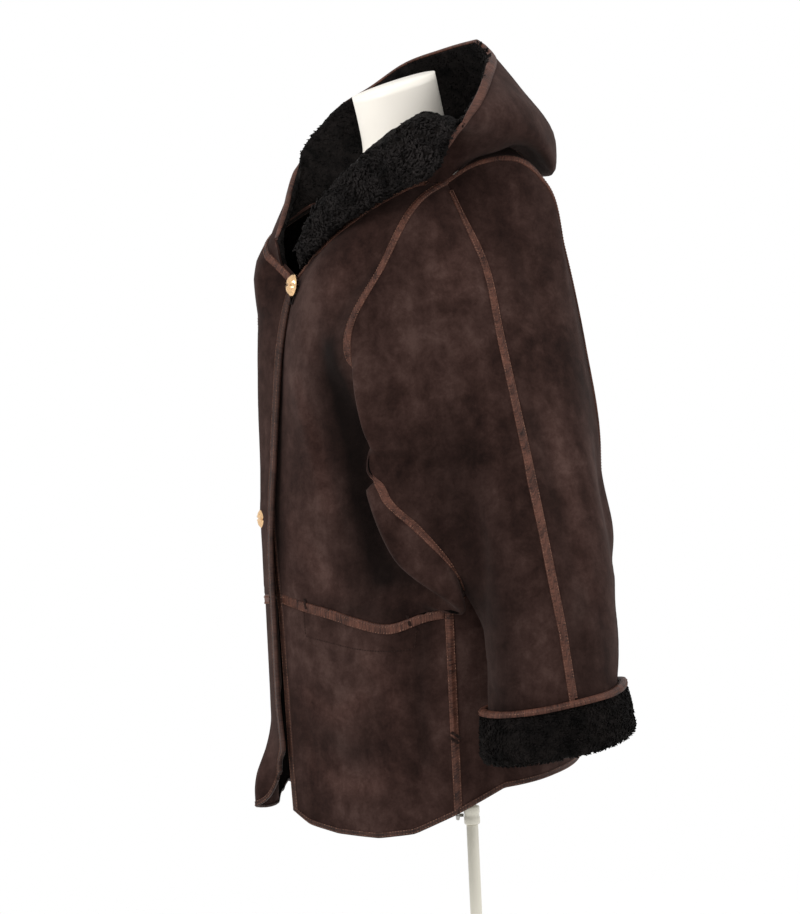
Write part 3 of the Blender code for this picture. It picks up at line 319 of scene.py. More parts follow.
def lap(grid, right):
    """The grid near its closing edge. The right front laps over the left and its foot flares out into a
    tongue; the left one falls away from the centre line below the chest. x runs to the panel's own side."""
    g = grid.copy()
    x, z = grid[:, :, 0], grid[:, :, 2]
    near = (1.0 - x / LAP_REACH).clip(0, 1)
    if not right:
        g[:, :, 0] += near * np.interp(z, *LEFT_EDGE)
        return g
    g[:, :, 0] -= near * (LAP_OVER + 0.010 * bell(z, 0.712, 0.045))
    g[:, :, 1] -= LAP_FORWARD * softened((0.100 - x) / 0.060)
    low = softened((FLARE_TOP - z) / FLARE_FADE)
    stand = bell(g[:, :, 0], 0.034, 0.030)
    g[:, :, 1] -= FLARE * low * stand
    # the hem climbs at the corner, along the flare and beyond it
    g[:, :, 2] += low * low * 0.034 * bell(g[:, :, 0], -0.020, 0.020)
    g[:, :, 2] += low * (0.018 * bell(g[:, :, 0], -0.012, 0.026) + 0.012 * stand)
    beyond = ((x - 0.046) / 0.040).clip(0, 1) * ((0.205 - x) / 0.060).clip(0, 1)
    g[:, :, 2] += 0.026 * low * softened(beyond)
    return g


def right_shape(grid):
    """The right side lies flatter than the left: its chest stands forward below the collar, and its arm
    fold is eased back to a slanting limit wherever it would pass it."""
    g = grid.copy()
    x, y, z = grid[:, :, 0], grid[:, :, 1], grid[:, :, 2]
    heights, limit, chest = np.array(RIGHT_FRONT, float).T * MM
    inner = ((x + 0.005) / 0.045).clip(0, 1) * ((-0.085 - y) / 0.05).clip(0, 1)
    g[:, :, 1] -= np.interp(z, heights, chest) * inner
    over = np.interp(z, heights, limit) + LIMIT_SLANT * x - g[:, :, 1]
    eased = (over + LIMIT_EASE).clip(0) ** 2 / (4 * LIMIT_EASE)
    push = np.where(over > LIMIT_EASE, over, eased)
    g[:, :, 1] += LIMIT_SHARE * push * ((x - 0.03) / 0.03).clip(0, 1)
    return g


def mirrored(points, right=True):
    """Points carried over to the coat's right side, or left as they are."""
    return points * (-1.0, 1.0, 1.0) if right else points


def paint_shading(made, marks, right):
    """Stores painted shade and painted highlights at each corner of a piece, as the attribute nap that
    darkens or lightens the suede's colour, from marks given on the left side: half width in mm, amount, then
    the places of the mark's line."""
    place = np.zeros(len(made.data.vertices) * 3)
    made.data.vertices.foreach_get("co", place)
    place = place.reshape(-1, 3)
    amount = np.zeros(len(place))
    for half_width, strength, *line in marks:
        path = mirrored(through(line, 8) * MM, right)
        far = np.linalg.norm(place[:, None] - path, axis=2).min(axis=1)
        amount += strength * bell(far, 0, half_width * MM)
    # the attribute nap carries painted shade and painted highlights, not a real change of the nap
    made.data.attributes.new("nap", "FLOAT", "POINT").data.foreach_set("value", amount.clip(-0.95, 1.2))


def creased(grid, out, creases):
    """The grid pushed in or out along its ways off by listed creases: half width, height, then the places of
    its line, in millimetres. A crease is a soft trough or ridge that dies at its ends."""
    g = grid.copy()
    for half_width, height, *line in creases:
        path = through(line, 8) * MM
        far = np.linalg.norm(grid[:, :, None] - path, axis=3)
        share = far.argmin(axis=2) / (len(path) - 1)
        fade = np.sin(math.pi * share.clip(0.03, 0.97)) ** 0.7
        g += out * (height * MM * bell(far.min(axis=2), 0, half_width * MM) * fade)[:, :, None]
    return g


def inside_out(points, faces):
    """Whether four-cornered faces look inwards: the volume that they enclose is below zero."""
    a, b, c, d = (points[faces[:, k]] for k in range(4))
    return (a * np.cross(b - a, c - a) + a * np.cross(c - a, d - a)).sum() < 0


def object_of(name, points, faces, materials, face_material=None, uv=None, sharp=None, closed=True):
    """One mesh object from arrays of points and four-cornered faces; a closed one is turned outwards."""
    if closed and inside_out(points, faces):
        faces = faces[:, ::-1]
        uv = None if uv is None else uv[:, ::-1]
    mesh = bpy.data.meshes.new(name)
    mesh.from_pydata(points, [], faces)
    if uv is not None:
        layer = mesh.uv_layers.new(name="UVMap")
        layer.data.foreach_set("uv", uv.reshape(-1).astype(np.float32))
    for material in materials:
        mesh.materials.append(material)
    if face_material is not None:
        mesh.polygons.foreach_set("material_index", face_material.astype(np.int32))
    mesh.polygons.foreach_set("use_smooth", np.ones(len(faces), bool))
    if sharp is not None:
        ends = np.zeros(len(mesh.edges) * 2, np.int32)
        mesh.edges.foreach_get("vertices", ends)
        both = sharp[ends.reshape(-1, 2)].all(axis=1)
        mesh.attributes.new("sharp_edge", "BOOLEAN", "EDGE").data.foreach_set("value", both)
    mesh.update()
    made = bpy.data.objects.new(name, mesh)
    bpy.context.scene.collection.objects.link(made)
    return made


def worn(made, node=None):
    """Rides the object on the one body and hides the node that it replaces."""
    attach(made, "root")
    if node:
        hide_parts(node)
    return made


def shell(name, outer, inner, materials, facing=0):
    """A closed wall between two grids of points, with a rim round its border. The inner face
    takes the second material, but for a facing of that many columns beside column 0."""
    rows, columns = outer.shape[:2]
    count = rows * columns
    top = np.arange(count).reshape(rows, columns)
    quads = np.stack([top[:-1, :-1], top[:-1, 1:], top[1:, 1:], top[1:, :-1]], axis=-1).reshape(-1, 4)
    rim = np.concatenate([top[0], top[1:, -1], top[-1, -2::-1], top[-2:0:-1, 0]])
    after = np.roll(rim, -1)
    edge = np.stack([after, rim, rim + count, after + count], axis=-1)
    points = np.concatenate([outer.reshape(-1, 3), inner.reshape(-1, 3)])
    faces = np.concatenate([quads, quads[:, ::-1] + count, edge])
    kinds = np.repeat([0, 1, 0], [len(quads), len(quads), len(edge)])
    kinds[len(quads):2 * len(quads)] = np.tile(np.arange(columns - 1) >= facing, rows - 1)
    sharp = np.zeros(2 * count, bool)
    sharp[rim] = sharp[rim + count] = True
    return object_of(name, points, faces, materials, kinds, sharp=sharp)


def noise(tree, place, scale, detail, roughness=0.5, distortion=0.0):
    """A cloudy pattern whose waves are about one over the scale long."""
    settings = {"Scale": scale, "Detail": detail, "Roughness": roughness, "Distortion": distortion}
    return add(tree, "ShaderNodeTexNoise", Vector=place, **settings).outputs["Fac"]


def sum_of(tree, value, *parts):
    """A value with other values added to it, each times its own weight."""
    for part, weight in parts:
        value = add(tree, "ShaderNodeMath", part, weight, value, operation="MULTIPLY_ADD").outputs["Value"]
    return value


def stretched(tree, value, low, high):
    """The value's share of the way from low to high."""
    return add(tree, "ShaderNodeMapRange", value, low, high).outputs["Result"]


def ramp(tree, value, *stops):
    """The colour at a value, between stops that are each a place and a colour."""
    made = add(tree, "ShaderNodeValToRGB", value)
    points = made.color_ramp.elements
    while len(points) < len(stops):
        points.new(0.5)
    for point, (at, colour) in zip(points, stops):
        point.position = at
        point.color = (*colour, 1)
    return made.outputs["Color"]


def surfaced(tree, shader, colour, height, strength, distance):
    """Links the shader's colour, and a bump of the given height pattern."""
    bump = add(tree, "ShaderNodeBump", Height=height, Strength=strength, Distance=distance)
    tree.links.new(colour, shader.inputs["Base Color"])
    tree.links.new(bump.outputs["Normal"], shader.inputs["Normal"])


def suede_finish():
    """Napped suede: soft blotches a hand wide, finer cloudy mottling, a brushed nap and lighter worn spots,
    times the painted shade and painted highlights stored in the attribute nap."""
    made, tree, shader = finish_of(
        "suede", Roughness=0.94, Specular_IOR_Level=0.06,
        Sheen_Weight=0.055, Sheen_Roughness=0.55, Sheen_Tint=(0.72, 0.55, 0.50, 1),
    )
    place = add(tree, "ShaderNodeTexCoord").outputs["Object"]
    blotch = noise(tree, place, 8.0, 4.0, 0.6, 0.3)
    cloud = noise(tree, place, 46.0, 8.0, 0.72, 0.35)
    nap = noise(tree, place, 300.0, 6.0, 0.75, 0.4)
    brushed = add(tree, "ShaderNodeMapping", Vector=place, Scale=(30.0, 30.0, 5.0)).outputs["Vector"]
    stroke = noise(tree, brushed, 1.0, 5.0, 0.6)
    value = stretched(tree, sum_of(tree, blotch, (stroke, 0.55), (cloud, 0.82), (nap, 0.34)), 1.02, 1.70)
    tone = ramp(
        tree, value, (0.1129, (0.0085, 0.0036, 0.0028)), (0.4032, (0.0185, 0.0086, 0.0068)),
        (0.6452, (0.0300, 0.0152, 0.0124)), (0.9194, (0.0480, 0.0270, 0.0225)),
    )
    # painted shade and painted highlights: the attribute nap darkens the colour where shade falls and
    # lightens what stands out
    painted_shading = add(tree, "ShaderNodeAttribute", attribute_name="nap").outputs["Fac"]
    gain = add(tree, "ShaderNodeMath", painted_shading, 0.9, 1.0, operation="MULTIPLY_ADD").outputs["Value"]
    toned = add(tree, "ShaderNodeVectorMath", tone, operation="SCALE", Scale=gain).outputs["Vector"]
    surfaced(tree, shader, toned, nap, 0.35, 0.0008)
    return made


def wool_finish(name, dark, light, scale, gloss=0.06):
    """Wool: near-black clumps with lighter tips, mixed by a curly noise that also raises its surface."""
    made, tree, shader = finish_of(
        name, Roughness=0.85, Specular_IOR_Level=gloss, Sheen_Weight=0.1 * gloss, Sheen_Roughness=0.4,
    )
    place = add(tree, "ShaderNodeTexCoord").outputs["Object"]
    curl = noise(tree, place, scale, 3.0, 0.6, 2.4)
    clump = noise(tree, place, scale * 0.22, 2.0, 0.5, 0.8)
    both = add(tree, "ShaderNodeMath", curl, clump, operation="MULTIPLY").outputs["Value"]
    surfaced(tree, shader, ramp(tree, both, (0.14, dark), (0.42, light)), curl, 0.8, 0.002)
    return made


SUEDE = suede_finish()
LINING = wool_finish("clipped_lining", (0.0016, 0.0013, 0.0012), (0.006, 0.005, 0.0045), 260.0, 0.0)


def panel(kind, side, grid, out, marks=(), facing=0):
    """A cloth panel of one kind and side: its outer face, a wall inwards and its painted shade and
    highlights.
    """
    node, right = kind + side, side == "R"
    outer, inner = mirrored(grid, right), mirrored(grid - out * WALL, right)
    made = worn(shell(node + "_suede", outer, inner, [SUEDE, LINING], facing), node)
    paint_shading(made, marks, right)


pocket_row = [on_body(a, level(POCKET_LINE, a)) for a in FRONT_ANGLES]
hem_row = [on_body(a, level(HEM_LINE, a)) for a in FRONT_ANGLES]
border = [*ARMHOLE_FRONT, SIDE_SEAM_TOP]
upper_table = [list(row[1:]) + [point] for row, point in zip(FRONT_ROWS, border)] + [pocket_row]
SHARES = (0.0, 0.35, 0.7, 1.0)           # of the way from the pocket line to the hem
lower_table = [np.add(np.multiply(pocket_row, 1 - s), np.multiply(hem_row, s)) for s in SHARES]
FRONT_ACROSS = (9, 10, 9, 8, 8, 8)
FACING = 13              # grid columns of suede turned in along the closing edge
# creases: half width, height (minus for a trough), and the places along it; the two sides differ
UPPER_CREASES = {
    "L": (
        (15, -5.0, (66, -232, 1262), (100, -232, 1222), (124, -218, 1158)),
        (12, 3.0, (48, -244, 1196), (77, -240, 1111), (102, -229, 1020)),
        (10, -3.4, (90, -237, 1154), (98, -228, 1055), (124, -212, 963)),
        (9, 2.4, (116, -220, 1100), (124, -212, 1030), (142, -196, 968)),
        (9, -2.6, (38, -252, 941), (84, -236, 927), (126, -212, 934)),
        (8, 2.4, (106, -220, 914), (152, -192, 898), (192, -156, 902)),
        (13, -2.6, (112, -210, 1278), (130, -178, 1316), (132, -139, 1369)),
        (16, 2.0, (60, -215, 1318), (92, -205, 1296), (118, -205, 1256)),
    ),
    "R": (
        (16, -4.4, (60, -232, 1250), (96, -232, 1210), (122, -218, 1150)),
        (11, 2.6, (55, -244, 1170), (70, -240, 1090), (90, -229, 1000)),
        (11, -3.0, (96, -237, 1130), (108, -226, 1040), (136, -206, 960)),
        (9, -2.2, (60, -246, 950), (110, -224, 934), (150, -200, 940)),
        (14, -2.2, (112, -205, 1290), (132, -160, 1330), (130, -120, 1380)),
    ),
}
LOWER_CREASES = {
    "L": (
        (11, -2.4, (52, -247, 852), (110, -222, 830), (166, -188, 824)),
        (14, 2.2, (60, -244, 742), (105, -223, 770), (160, -190, 788)),
        (13, -3.6, (196, -150, 894), (186, -162, 811), (188, -160, 712)),
        (12, -2.6, (88, -230, 716), (134, -206, 688), (182, -168, 704)),
        (11, 2.4, (206, -130, 860), (208, -126, 770), (214, -114, 700)),
        (9, -1.8, (30, -262, 800), (52, -252, 740), (58, -248, 670)),
    ),
    "R": (
        (12, -2.6, (60, -244, 842), (118, -216, 818), (170, -184, 830)),
        (14, 2.4, (70, -240, 720), (115, -218, 756), (150, -198, 790)),
        (13, -3.2, (190, -154, 880), (180, -166, 790), (186, -160, 700)),
        (10, -2.0, (110, -220, 700), (150, -196, 676), (190, -158, 690)),
    ),
}
upper_grid, upper_marks = cloth_grid(upper_table, (UNDERARM,), across=FRONT_ACROSS)
lower_grid, _ = cloth_grid(lower_table, across=FRONT_ACROSS)
lower_grid = hang(lower_grid, 0)

# painted shade in the valley at the arm and along the troughs of the folds, painted shadow under the
# pocket's mouth, and painted highlights on what stands out
UPPER_PAINTED_SHADING = (
    (17, -0.85, (120, -226, 1222), (127, -219, 1180), (131, -210, 1120),
        (133, -201, 1060), (138, -192, 1000), (150, -184, 945)),
    (34, -0.42, (112, -228, 1190), (120, -216, 1110), (124, -206, 1040), (128, -204, 970), (140, -196, 920)),
    (24, -0.95, (150, -192, 1130), (164, -182, 1090), (174, -176, 1040), (172, -166, 990), (182, -168, 950)),
    (14, 0.45, (60, -246, 1180), (84, -240, 1110), (100, -229, 1030)),
    (18, 0.35, (40, -252, 1000), (70, -240, 960), (96, -226, 930)),
    (13, 0.30, (100, -215, 1290), (116, -190, 1330), (118, -150, 1380)),
    (11, -0.30, (60, -238, 906), (120, -212, 900), (190, -158, 897)),
)
# painted shadow under the pocket's mouth and painted shade in the troughs, painted highlights on the raised
# folds
LOWER_PAINTED_SHADING = (
    (9, -0.45, (90, -232, 897), (140, -202, 884), (180, -168, 880)),
    (14, 0.55, (50, -250, 790), (90, -234, 770), (130, -212, 790)),
    (16, 0.50, (60, -244, 700), (110, -222, 680), (160, -190, 700)),
    (12, -0.45, (196, -150, 890), (188, -160, 800), (190, -156, 720)),
    (13, 0.40, (140, -205, 840), (166, -186, 790), (150, -198, 740)),
    (15, -0.35, (80, -236, 740), (120, -216, 725), (150, -198, 745)),
)


POCKET_GAPE = {"L": 0.0030, "R": 0.0010}      # metres that the mouth's middle stands off


def front_pair(side, right):
    """The two front panels of one side; the pocket's mouth stands open a little."""
    upper = lap(creased(upper_grid, ways_out(upper_grid, -1), UPPER_CREASES[side]), right)
    lower = lap(creased(lower_grid, ways_out(lower_grid, -1), LOWER_CREASES[side]), right)
    if right:
        upper, lower = right_shape(upper), right_shape(lower)
    u = np.linspace(0, 1, lower.shape[1])
    mouth = ((u - 0.14) / 0.14).clip(0, 1) * ((0.86 - u) / 0.12).clip(0, 1)
    depth = (1 - np.linspace(0, 2.0, lower.shape[0])).clip(0, 1)
    gape = POCKET_GAPE[side] * mouth[None, :, None] * depth[:, None, None]
    return upper, lower + ways_out(lower, -1) * gape


fronts = {}
for side, right in SIDES:
    upper, lower = front_pair(side, right)
    upper_out, lower_out = ways_out(upper, -1), ways_out(lower, -1)
    fronts[side] = upper, lower, upper_out, lower_out
    panel("front_upper_", side, upper, upper_out, UPPER_PAINTED_SHADING, FACING)
    panel("front_lower_", side, lower, lower_out, LOWER_PAINTED_SHADING, FACING)


# ---- Sleeves: each is cut in a front and a back half, joined along the top of the arm and under it, and
# hangs from the shoulder in a deep bat's wing whose folds run into the side seam.
UNDERARM_SEAM = ((222, -108, 920), (235, -62, 838), (245, -25, 735))
CENTRE_SEAM = (
    (121, -57, 1419), (148, -50, 1375), (183, -41, 1318), (228, -46, 1225), (272, -51, 1135),
    (293, -52, 1082), (318, -53, 1015), (343, -53, 940), (356, -49, 878), (366, -46, 812),
    (375, -42, 742),
)
CENTRE_SEAM_FRONT = (
    *CENTRE_SEAM[:4], (251, -49, 1180), CENTRE_SEAM[4], (283, -52, 1109), CENTRE_SEAM[5],
    (299, -53, 1065), (305, -53, 1048), *CENTRE_SEAM[6:],
)
ARMHOLE_BACK = (
    (121, -57, 1419), (129, -13, 1442), (142, 34, 1443), (154, 66, 1410), (168, 79, 1330),
    (190, 90, 1210), (218, 89, 1080), (238, 54, 968), (222, -108, 920),
)
SLEEVE_FRONT_ROWS = (
    ("raglan_high", (134, -92, 1399), (138, -83, 1395), (142, -72, 1389), (146, -60, 1382)),
    ("raglan_mid", (151, -147, 1324), (160, -126, 1325), (169, -99, 1324), (177, -69, 1321)),
    ("raglan_low", (158, -213, 1219), (183, -160, 1224), (202, -122, 1227), (218, -80, 1227)),
    ("fold_top", (171, -220, 1172), (196, -171, 1175), (219, -122, 1178), (237, -81, 1180)),
    ("fold_valley", (190, -217, 1119), (207, -180, 1125), (234, -122, 1130), (256, -82, 1132)),
    ("fold_mid", (197, -211, 1099), (220, -162, 1101), (245, -111, 1104), (267, -80, 1107)),
    ("fold_crossing", (209, -184, 1079), (225, -143, 1079), (256, -104, 1079), (278, -78, 1083)),
    ("fold_edge", (216, -174, 1061), (240, -137, 1061), (263, -104, 1062), (284, -79, 1065)),
    ("web_top", (226, -164, 1044), (241, -129, 1044), (269, -104, 1045), (291, -79, 1048)),
    ("web_mid", (234, -138, 1008), (252, -118, 1008), (281, -103, 1010), (304, -79, 1012)),
    ("web_low", (249, -115, 934), (270, -110, 930), (306, -102, 933), (330, -80, 937)),
    ("underarm", (238, -100, 894), (262, -106, 890), (312, -104, 888), (341, -78, 884)),
    ("forearm", (246, -78, 828), (266, -107, 822), (318, -107, 818), (350, -78, 815)),
    ("end", (249, -68, 730), (270, -110, 727), (322, -112, 729), (356, -81, 735)),
)
SLEEVE_BACK_ROWS = (
    ("arch_front", (134, -20, 1431), (139, -29, 1417), (143, -38, 1402), (146, -45, 1388)),
    ("arch_top", (152, 26, 1428), (163, 12, 1402), (173, -6, 1372), (180, -25, 1343)),
    ("arch_back", (170, 61, 1375), (188, 49, 1332), (208, 24, 1288), (222, -12, 1253)),
    ("raglan_high", (188, 74, 1284), (212, 63, 1238), (243, 34, 1195), (262, -8, 1163)),
    ("raglan_mid", (211, 80, 1175), (236, 66, 1140), (268, 36, 1118), (288, -6, 1099)),
    ("raglan_low", (236, 80, 1064), (264, 62, 1048), (296, 34, 1034), (316, -9, 1023)),
    ("web", (250, 76, 956), (280, 66, 951), (314, 42, 947), (340, 4, 944)),
    ("underarm", (244, -8, 895), (268, 62, 886), (316, 46, 882), (350, 4, 879)),
    ("forearm", (248, 12, 826), (272, 57, 820), (322, 42, 815), (357, 2, 813)),
    ("end", (253, 18, 739), (276, 54, 746), (328, 48, 751), (366, 2, 746)),
)
SLEEVE_FRONT_CREASES = {
    "L": (
        (18, -4.0, (171, -176, 1232), (211, -173, 1112), (236, -146, 990)),
        (15, 2.6, (208, -135, 1194), (236, -132, 1098), (252, -123, 1010)),
        (14, -5.0, (254, -112, 1060), (270, -110, 978), (258, -107, 885)),
        (16, -3.4, (178, -129, 1277), (208, -112, 1228), (236, -107, 1140)),
        (13, -3.2, (300, -101, 968), (328, -91, 897), (350, -76, 820)),
        (12, 2.4, (286, -104, 900), (302, -106, 850), (306, -108, 780)),
        (11, -2.6, (262, -108, 860), (286, -108, 812), (330, -100, 790)),
        (12, 2.0, (232, -92, 1250), (262, -90, 1170), (286, -90, 1080)),
    ),
    "R": (
        (17, -3.6, (176, -170, 1220), (214, -166, 1100), (232, -146, 1000)),
        (15, -4.4, (250, -112, 1040), (268, -110, 960), (262, -107, 880)),
        (14, -3.0, (186, -122, 1270), (216, -108, 1200), (246, -104, 1120)),
        (12, -3.4, (290, -104, 950), (322, -94, 880), (346, -78, 810)),
        (12, 2.6, (270, -108, 850), (300, -108, 800), (336, -96, 770)),
    ),
}
SLEEVE_BACK_CREASES = {
    "L": (
        (18, -3.8, (250, -30, 1190), (294, -20, 1082), (332, -20, 975)),
        (16, 2.8, (262, 24, 1150), (298, 30, 1041), (328, 26, 940)),
        (14, -3.6, (318, -30, 1000), (350, -10, 930), (342, 30, 865)),
        (13, -3.2, (330, 30, 960), (352, -16, 900), (362, -40, 835)),
        (14, -2.8, (175, -13, 1363), (204, 6, 1306), (234, 14, 1228)),
        (17, -4.2, (228, 72, 1120), (264, 62, 1030), (300, 52, 930)),
        (12, 2.6, (286, 62, 900), (310, 52, 850), (340, 34, 800)),
        (11, -2.6, (270, 60, 870), (306, 50, 822), (346, 26, 796)),
    ),
    "R": (
        (19, -4.2, (246, -24, 1170), (288, -14, 1070), (328, -16, 960)),
        (14, -3.2, (322, -20, 960), (352, -4, 890), (346, 32, 830)),
        (15, 2.6, (262, 40, 1130), (290, 40, 1040), (316, 36, 960)),
        (16, -3.8, (236, 68, 1080), (262, 62, 990), (286, 58, 900)),
        (12, -2.8, (282, 60, 880), (316, 48, 840), (350, 20, 820)),
    ),
}
# painted highlights at the sleeve's shoulder and along its outer side, and painted shade low in front
SLEEVE_FRONT_PAINTED_SHADING = (
    (62, -0.42, (226, -110, 1080), (262, -106, 930), (268, -108, 830), (270, -108, 740)),
    (30, -0.26, (300, -104, 900), (318, -106, 800), (322, -108, 740)),
    (34, 0.34, (136, -70, 1392), (158, -74, 1350), (180, -80, 1300)),
    (15, 0.20, (232, -92, 1220), (262, -90, 1140), (290, -90, 1060)),
)
SLEEVE_BACK_PAINTED_SHADING = (
    (38, 0.16, (250, 0, 1240), (300, 10, 1100), (330, 20, 980)),
    (34, -0.26, (352, -26, 900), (364, -26, 820), (368, -26, 750)),
    (14, 0.24, (286, -10, 1120), (318, -4, 1020), (342, 0, 930)),
    (12, -0.22, (272, -30, 1130), (306, -30, 1040), (326, -28, 960)),
)


def half_sleeve(rows, armhole, centre_seam):
    """One half of a sleeve; its tip is drawn back from the neck point, under the strips."""
    seam = [*armhole, *UNDERARM_SEAM[1:]]
    table = [[centre_seam[0]] * 6]
    table += [[start, *row[1:], centre] for row, start, centre in zip(rows, seam[1:], centre_seam[1:])]
    grid, marks = cloth_grid(table, (len(armhole) - 1,))
    grid[0] = 0.3 * grid[0] + 0.7 * grid[1]
    return grid, marks


sleeve_front, sleeve_front_marks = half_sleeve(SLEEVE_FRONT_ROWS, ARMHOLE_FRONT, CENTRE_SEAM_FRONT)
sleeve_back, sleeve_back_marks = half_sleeve(SLEEVE_BACK_ROWS, ARMHOLE_BACK, CENTRE_SEAM)
sleeves = {}
for side, right in SIDES:
    arm_front = creased(sleeve_front, ways_out(sleeve_front, -1), SLEEVE_FRONT_CREASES[side])
    arm_back = creased(sleeve_back, ways_out(sleeve_back, 1), SLEEVE_BACK_CREASES[side])
    arm_front = right_shape(arm_front) if right else arm_front
    front_out, back_out = ways_out(arm_front, -1), ways_out(arm_back, 1)
    sleeves[side] = arm_front, arm_back, front_out, back_out
    panel("sleeve_front_", side, arm_front, front_out, marks=SLEEVE_FRONT_PAINTED_SHADING)
    panel("sleeve_back_", side, arm_back, back_out, marks=SLEEVE_BACK_PAINTED_SHADING)


# ---- Back: one panel from the neck to the hem, cut without a seam; it hangs straight from the shoulders.
BACK_ROWS = (
    ("neckline", (0, 80, 1462), (40, 72, 1462), (72, 46, 1459), (97, -2, 1448)),
    ("arch_front", (0, 95, 1449), (47, 86, 1451), (88, 55, 1451), (116, 15, 1448)),
    ("arch_top", (0, 106, 1432), (50, 98, 1435), (95, 74, 1439), (125, 53, 1442)),
    ("arch_back", (0, 118, 1395), (54, 111, 1399), (101, 95, 1404), (132, 80, 1408)),
    ("raglan_high", (0, 125, 1322), (58, 121, 1324), (105, 109, 1327), (141, 94, 1329)),
    ("raglan_mid", (0, 127, 1205), (62, 124, 1206), (114, 116, 1208), (156, 103, 1210)),
    ("raglan_low", (0, 126, 1085), (68, 121, 1084), (128, 110, 1082), (179, 97, 1080)),
    ("web", (0, 125, 985), (74, 115, 980), (140, 93, 972), (194, 64, 962)),
    ("underarm", (0, 124, 944), (74, 113, 938), (156, 74, 928), (217, -20, 916)),
    ("tuck", (0, 124, 924), (73, 114, 921), (154, 74, 913), (218, -32, 905)),
)
BACK_UNDERARM = 8        # table rows of the armhole's lowest point and of the pocket line
BACK_POCKET = 10
BACK_ANGLES = (180, 158, 132, 100, SIDE_SEAM_ANGLE)
POCKET_HEIGHTS = (906, 904, 899, 892, 903)

back_table = [[*row[1:], point] for row, point in zip(BACK_ROWS, [*ARMHOLE_BACK, SIDE_SEAM_TOP])]
back_table.append([on_body(a, z) for a, z in zip(BACK_ANGLES, POCKET_HEIGHTS)])
for share in (0.35, 0.7, 1.0):
    heights = [POCKET_HEIGHTS[-1] * (1 - share) + level(HEM_LINE, a) * share for a in BACK_ANGLES]
    back_table.append([on_body(a, z) for a, z in zip(BACK_ANGLES, heights)])
back_half, back_marks = cloth_grid(back_table, (BACK_UNDERARM, BACK_POCKET), 6.0 * MM)
back_half = hang(back_half, back_marks[BACK_POCKET])
back_half_out = ways_out(back_half, 1)
back_half_out[:, 0, 0] = 0.0
back_grid = np.concatenate([mirrored(back_half)[:, :0:-1], back_half], axis=1)
back_out = np.concatenate([mirrored(back_half_out)[:, :0:-1], back_half_out], axis=1)
# soft folds that fall from the shoulder blades, and drag lines towards the arms
BACK_CREASES = (
    (20, -4.5, (66, 118, 1300), (74, 120, 1120), (92, 110, 930), (96, 104, 760)),
    (18, 3.2, (30, 124, 1180), (26, 126, 1000), (34, 124, 820)),
    (19, -4.0, (-52, 120, 1260), (-60, 120, 1090), (-56, 116, 900), (-70, 112, 740)),
    (16, 2.8, (-110, 108, 1120), (-124, 100, 960), (-130, 92, 800)),
    (14, -3.2, (128, 98, 1240), (150, 94, 1130), (180, 80, 1010)),
    (14, -3.0, (-132, 96, 1220), (-154, 92, 1100), (-176, 80, 1000)),
    (13, -2.8, (140, 84, 860), (150, 78, 780), (146, 80, 710)),
    (12, -2.4, (-20, 124, 860), (-14, 124, 780), (-24, 124, 715)),
)
back_grid = creased(back_grid, back_out, BACK_CREASES)
back_half = back_grid[:, back_grid.shape[1] // 2:]
panel("back", "", back_grid, back_out)


# ---- Seam strips: soft reddish-brown leather, 11 mm wide, sewn flat over every seam with a row of small
# stitches along each side. Along free edges the leather is folded round the edge.
STRIP_SPACING = 4.0 * MM
STITCH_PITCH = 3.7 * MM
STITCH_LENGTH = 2.5 * MM
STITCH_RADIUS = 0.42 * MM
POCKET_SLANT = math.radians(62)
# across a strip over a seam: distance from the seam and height over the suede, mm
OVER_SEAM = ((5.7, -0.5), (5.5, 0.7), (4.3, 1.25), (2.6, 1.1), (1.2, 1.5), (0.0, 1.55))
# round a free edge: distance in from the edge and height over the outer face, mm
ROUND_EDGE = (
    (11.2, -0.5), (11.0, 0.7), (9.6, 1.2), (6.0, 1.1), (2.0, 1.3), (0.2, 1.1), (-0.9, 0.1), (-1.1, -1.2),
    (-0.8, -2.8), (0.6, -3.6), (5.0, -3.5), (5.2, -2.6), (0.5, -2.5), (0.2, -1.2), (0.8, -0.5),
)
HEM_EDGE = tuple((d * 0.55 if d > 0 else d, h) for d, h in ROUND_EDGE)
UNDER_HOOD = ((4.0, -0.3), (4.2, 0.8), (6.0, 1.3), (9.0, 1.2), (12.0, 1.3), (13.8, 0.8), (14.0, -0.3))
# the armhole's strip runs under the arm fold between these heights, sunk by that depth, metres
FOLD_TOP = 1.204
FOLD_FOOT = 1.069
FOLD_SINK = 0.0012
STRIP_ROUND = 0.03       # metres round a strip's section, for its leather's pattern
INWARD_SHARE = 0.94      # of a grid's row that a section may take up at most


def strip_leather(name, dark, light):
    """Waxed leather: cross wrinkles along the strip's own length, with painted shade darkening its creases,
    soft gloss.
    """
    made, tree, shader = finish_of(name, Roughness=0.55, Specular_IOR_Level=0.16)
    place = add(tree, "ShaderNodeTexCoord").outputs
    along = add(tree, "ShaderNodeMapping", Vector=place["UV"], Scale=(640.0, 40.0, 1.0)).outputs["Vector"]
    wrinkle_and_crease_shade = noise(tree, along, 1.0, 3.0, 0.6, 0.6)
    patch = noise(tree, place["Object"], 42.0, 4.0, 0.6)
    # the wrinkles' troughs are painted darker, painted shade in the creases; the same pattern is the bump
    value = stretched(tree, sum_of(tree, patch, (wrinkle_and_crease_shade, 1.3)), 0.80, 1.48)
    surfaced(tree, shader, ramp(tree, value, (0.1, dark), (0.9, light)), wrinkle_and_crease_shade, 0.9, 0.0009)
    return made


def thread_finish(name, dark, light):
    """Twisted waxed thread, its tone changing slowly along a seam."""
    made, tree, shader = finish_of(name, Roughness=0.8, Specular_IOR_Level=0.1)
    twist = noise(tree, add(tree, "ShaderNodeTexCoord").outputs["Object"], 160.0, 2.0)
    tree.links.new(ramp(tree, twist, (0.35, dark), (0.7, light)), shader.inputs["Base Color"])
    return made


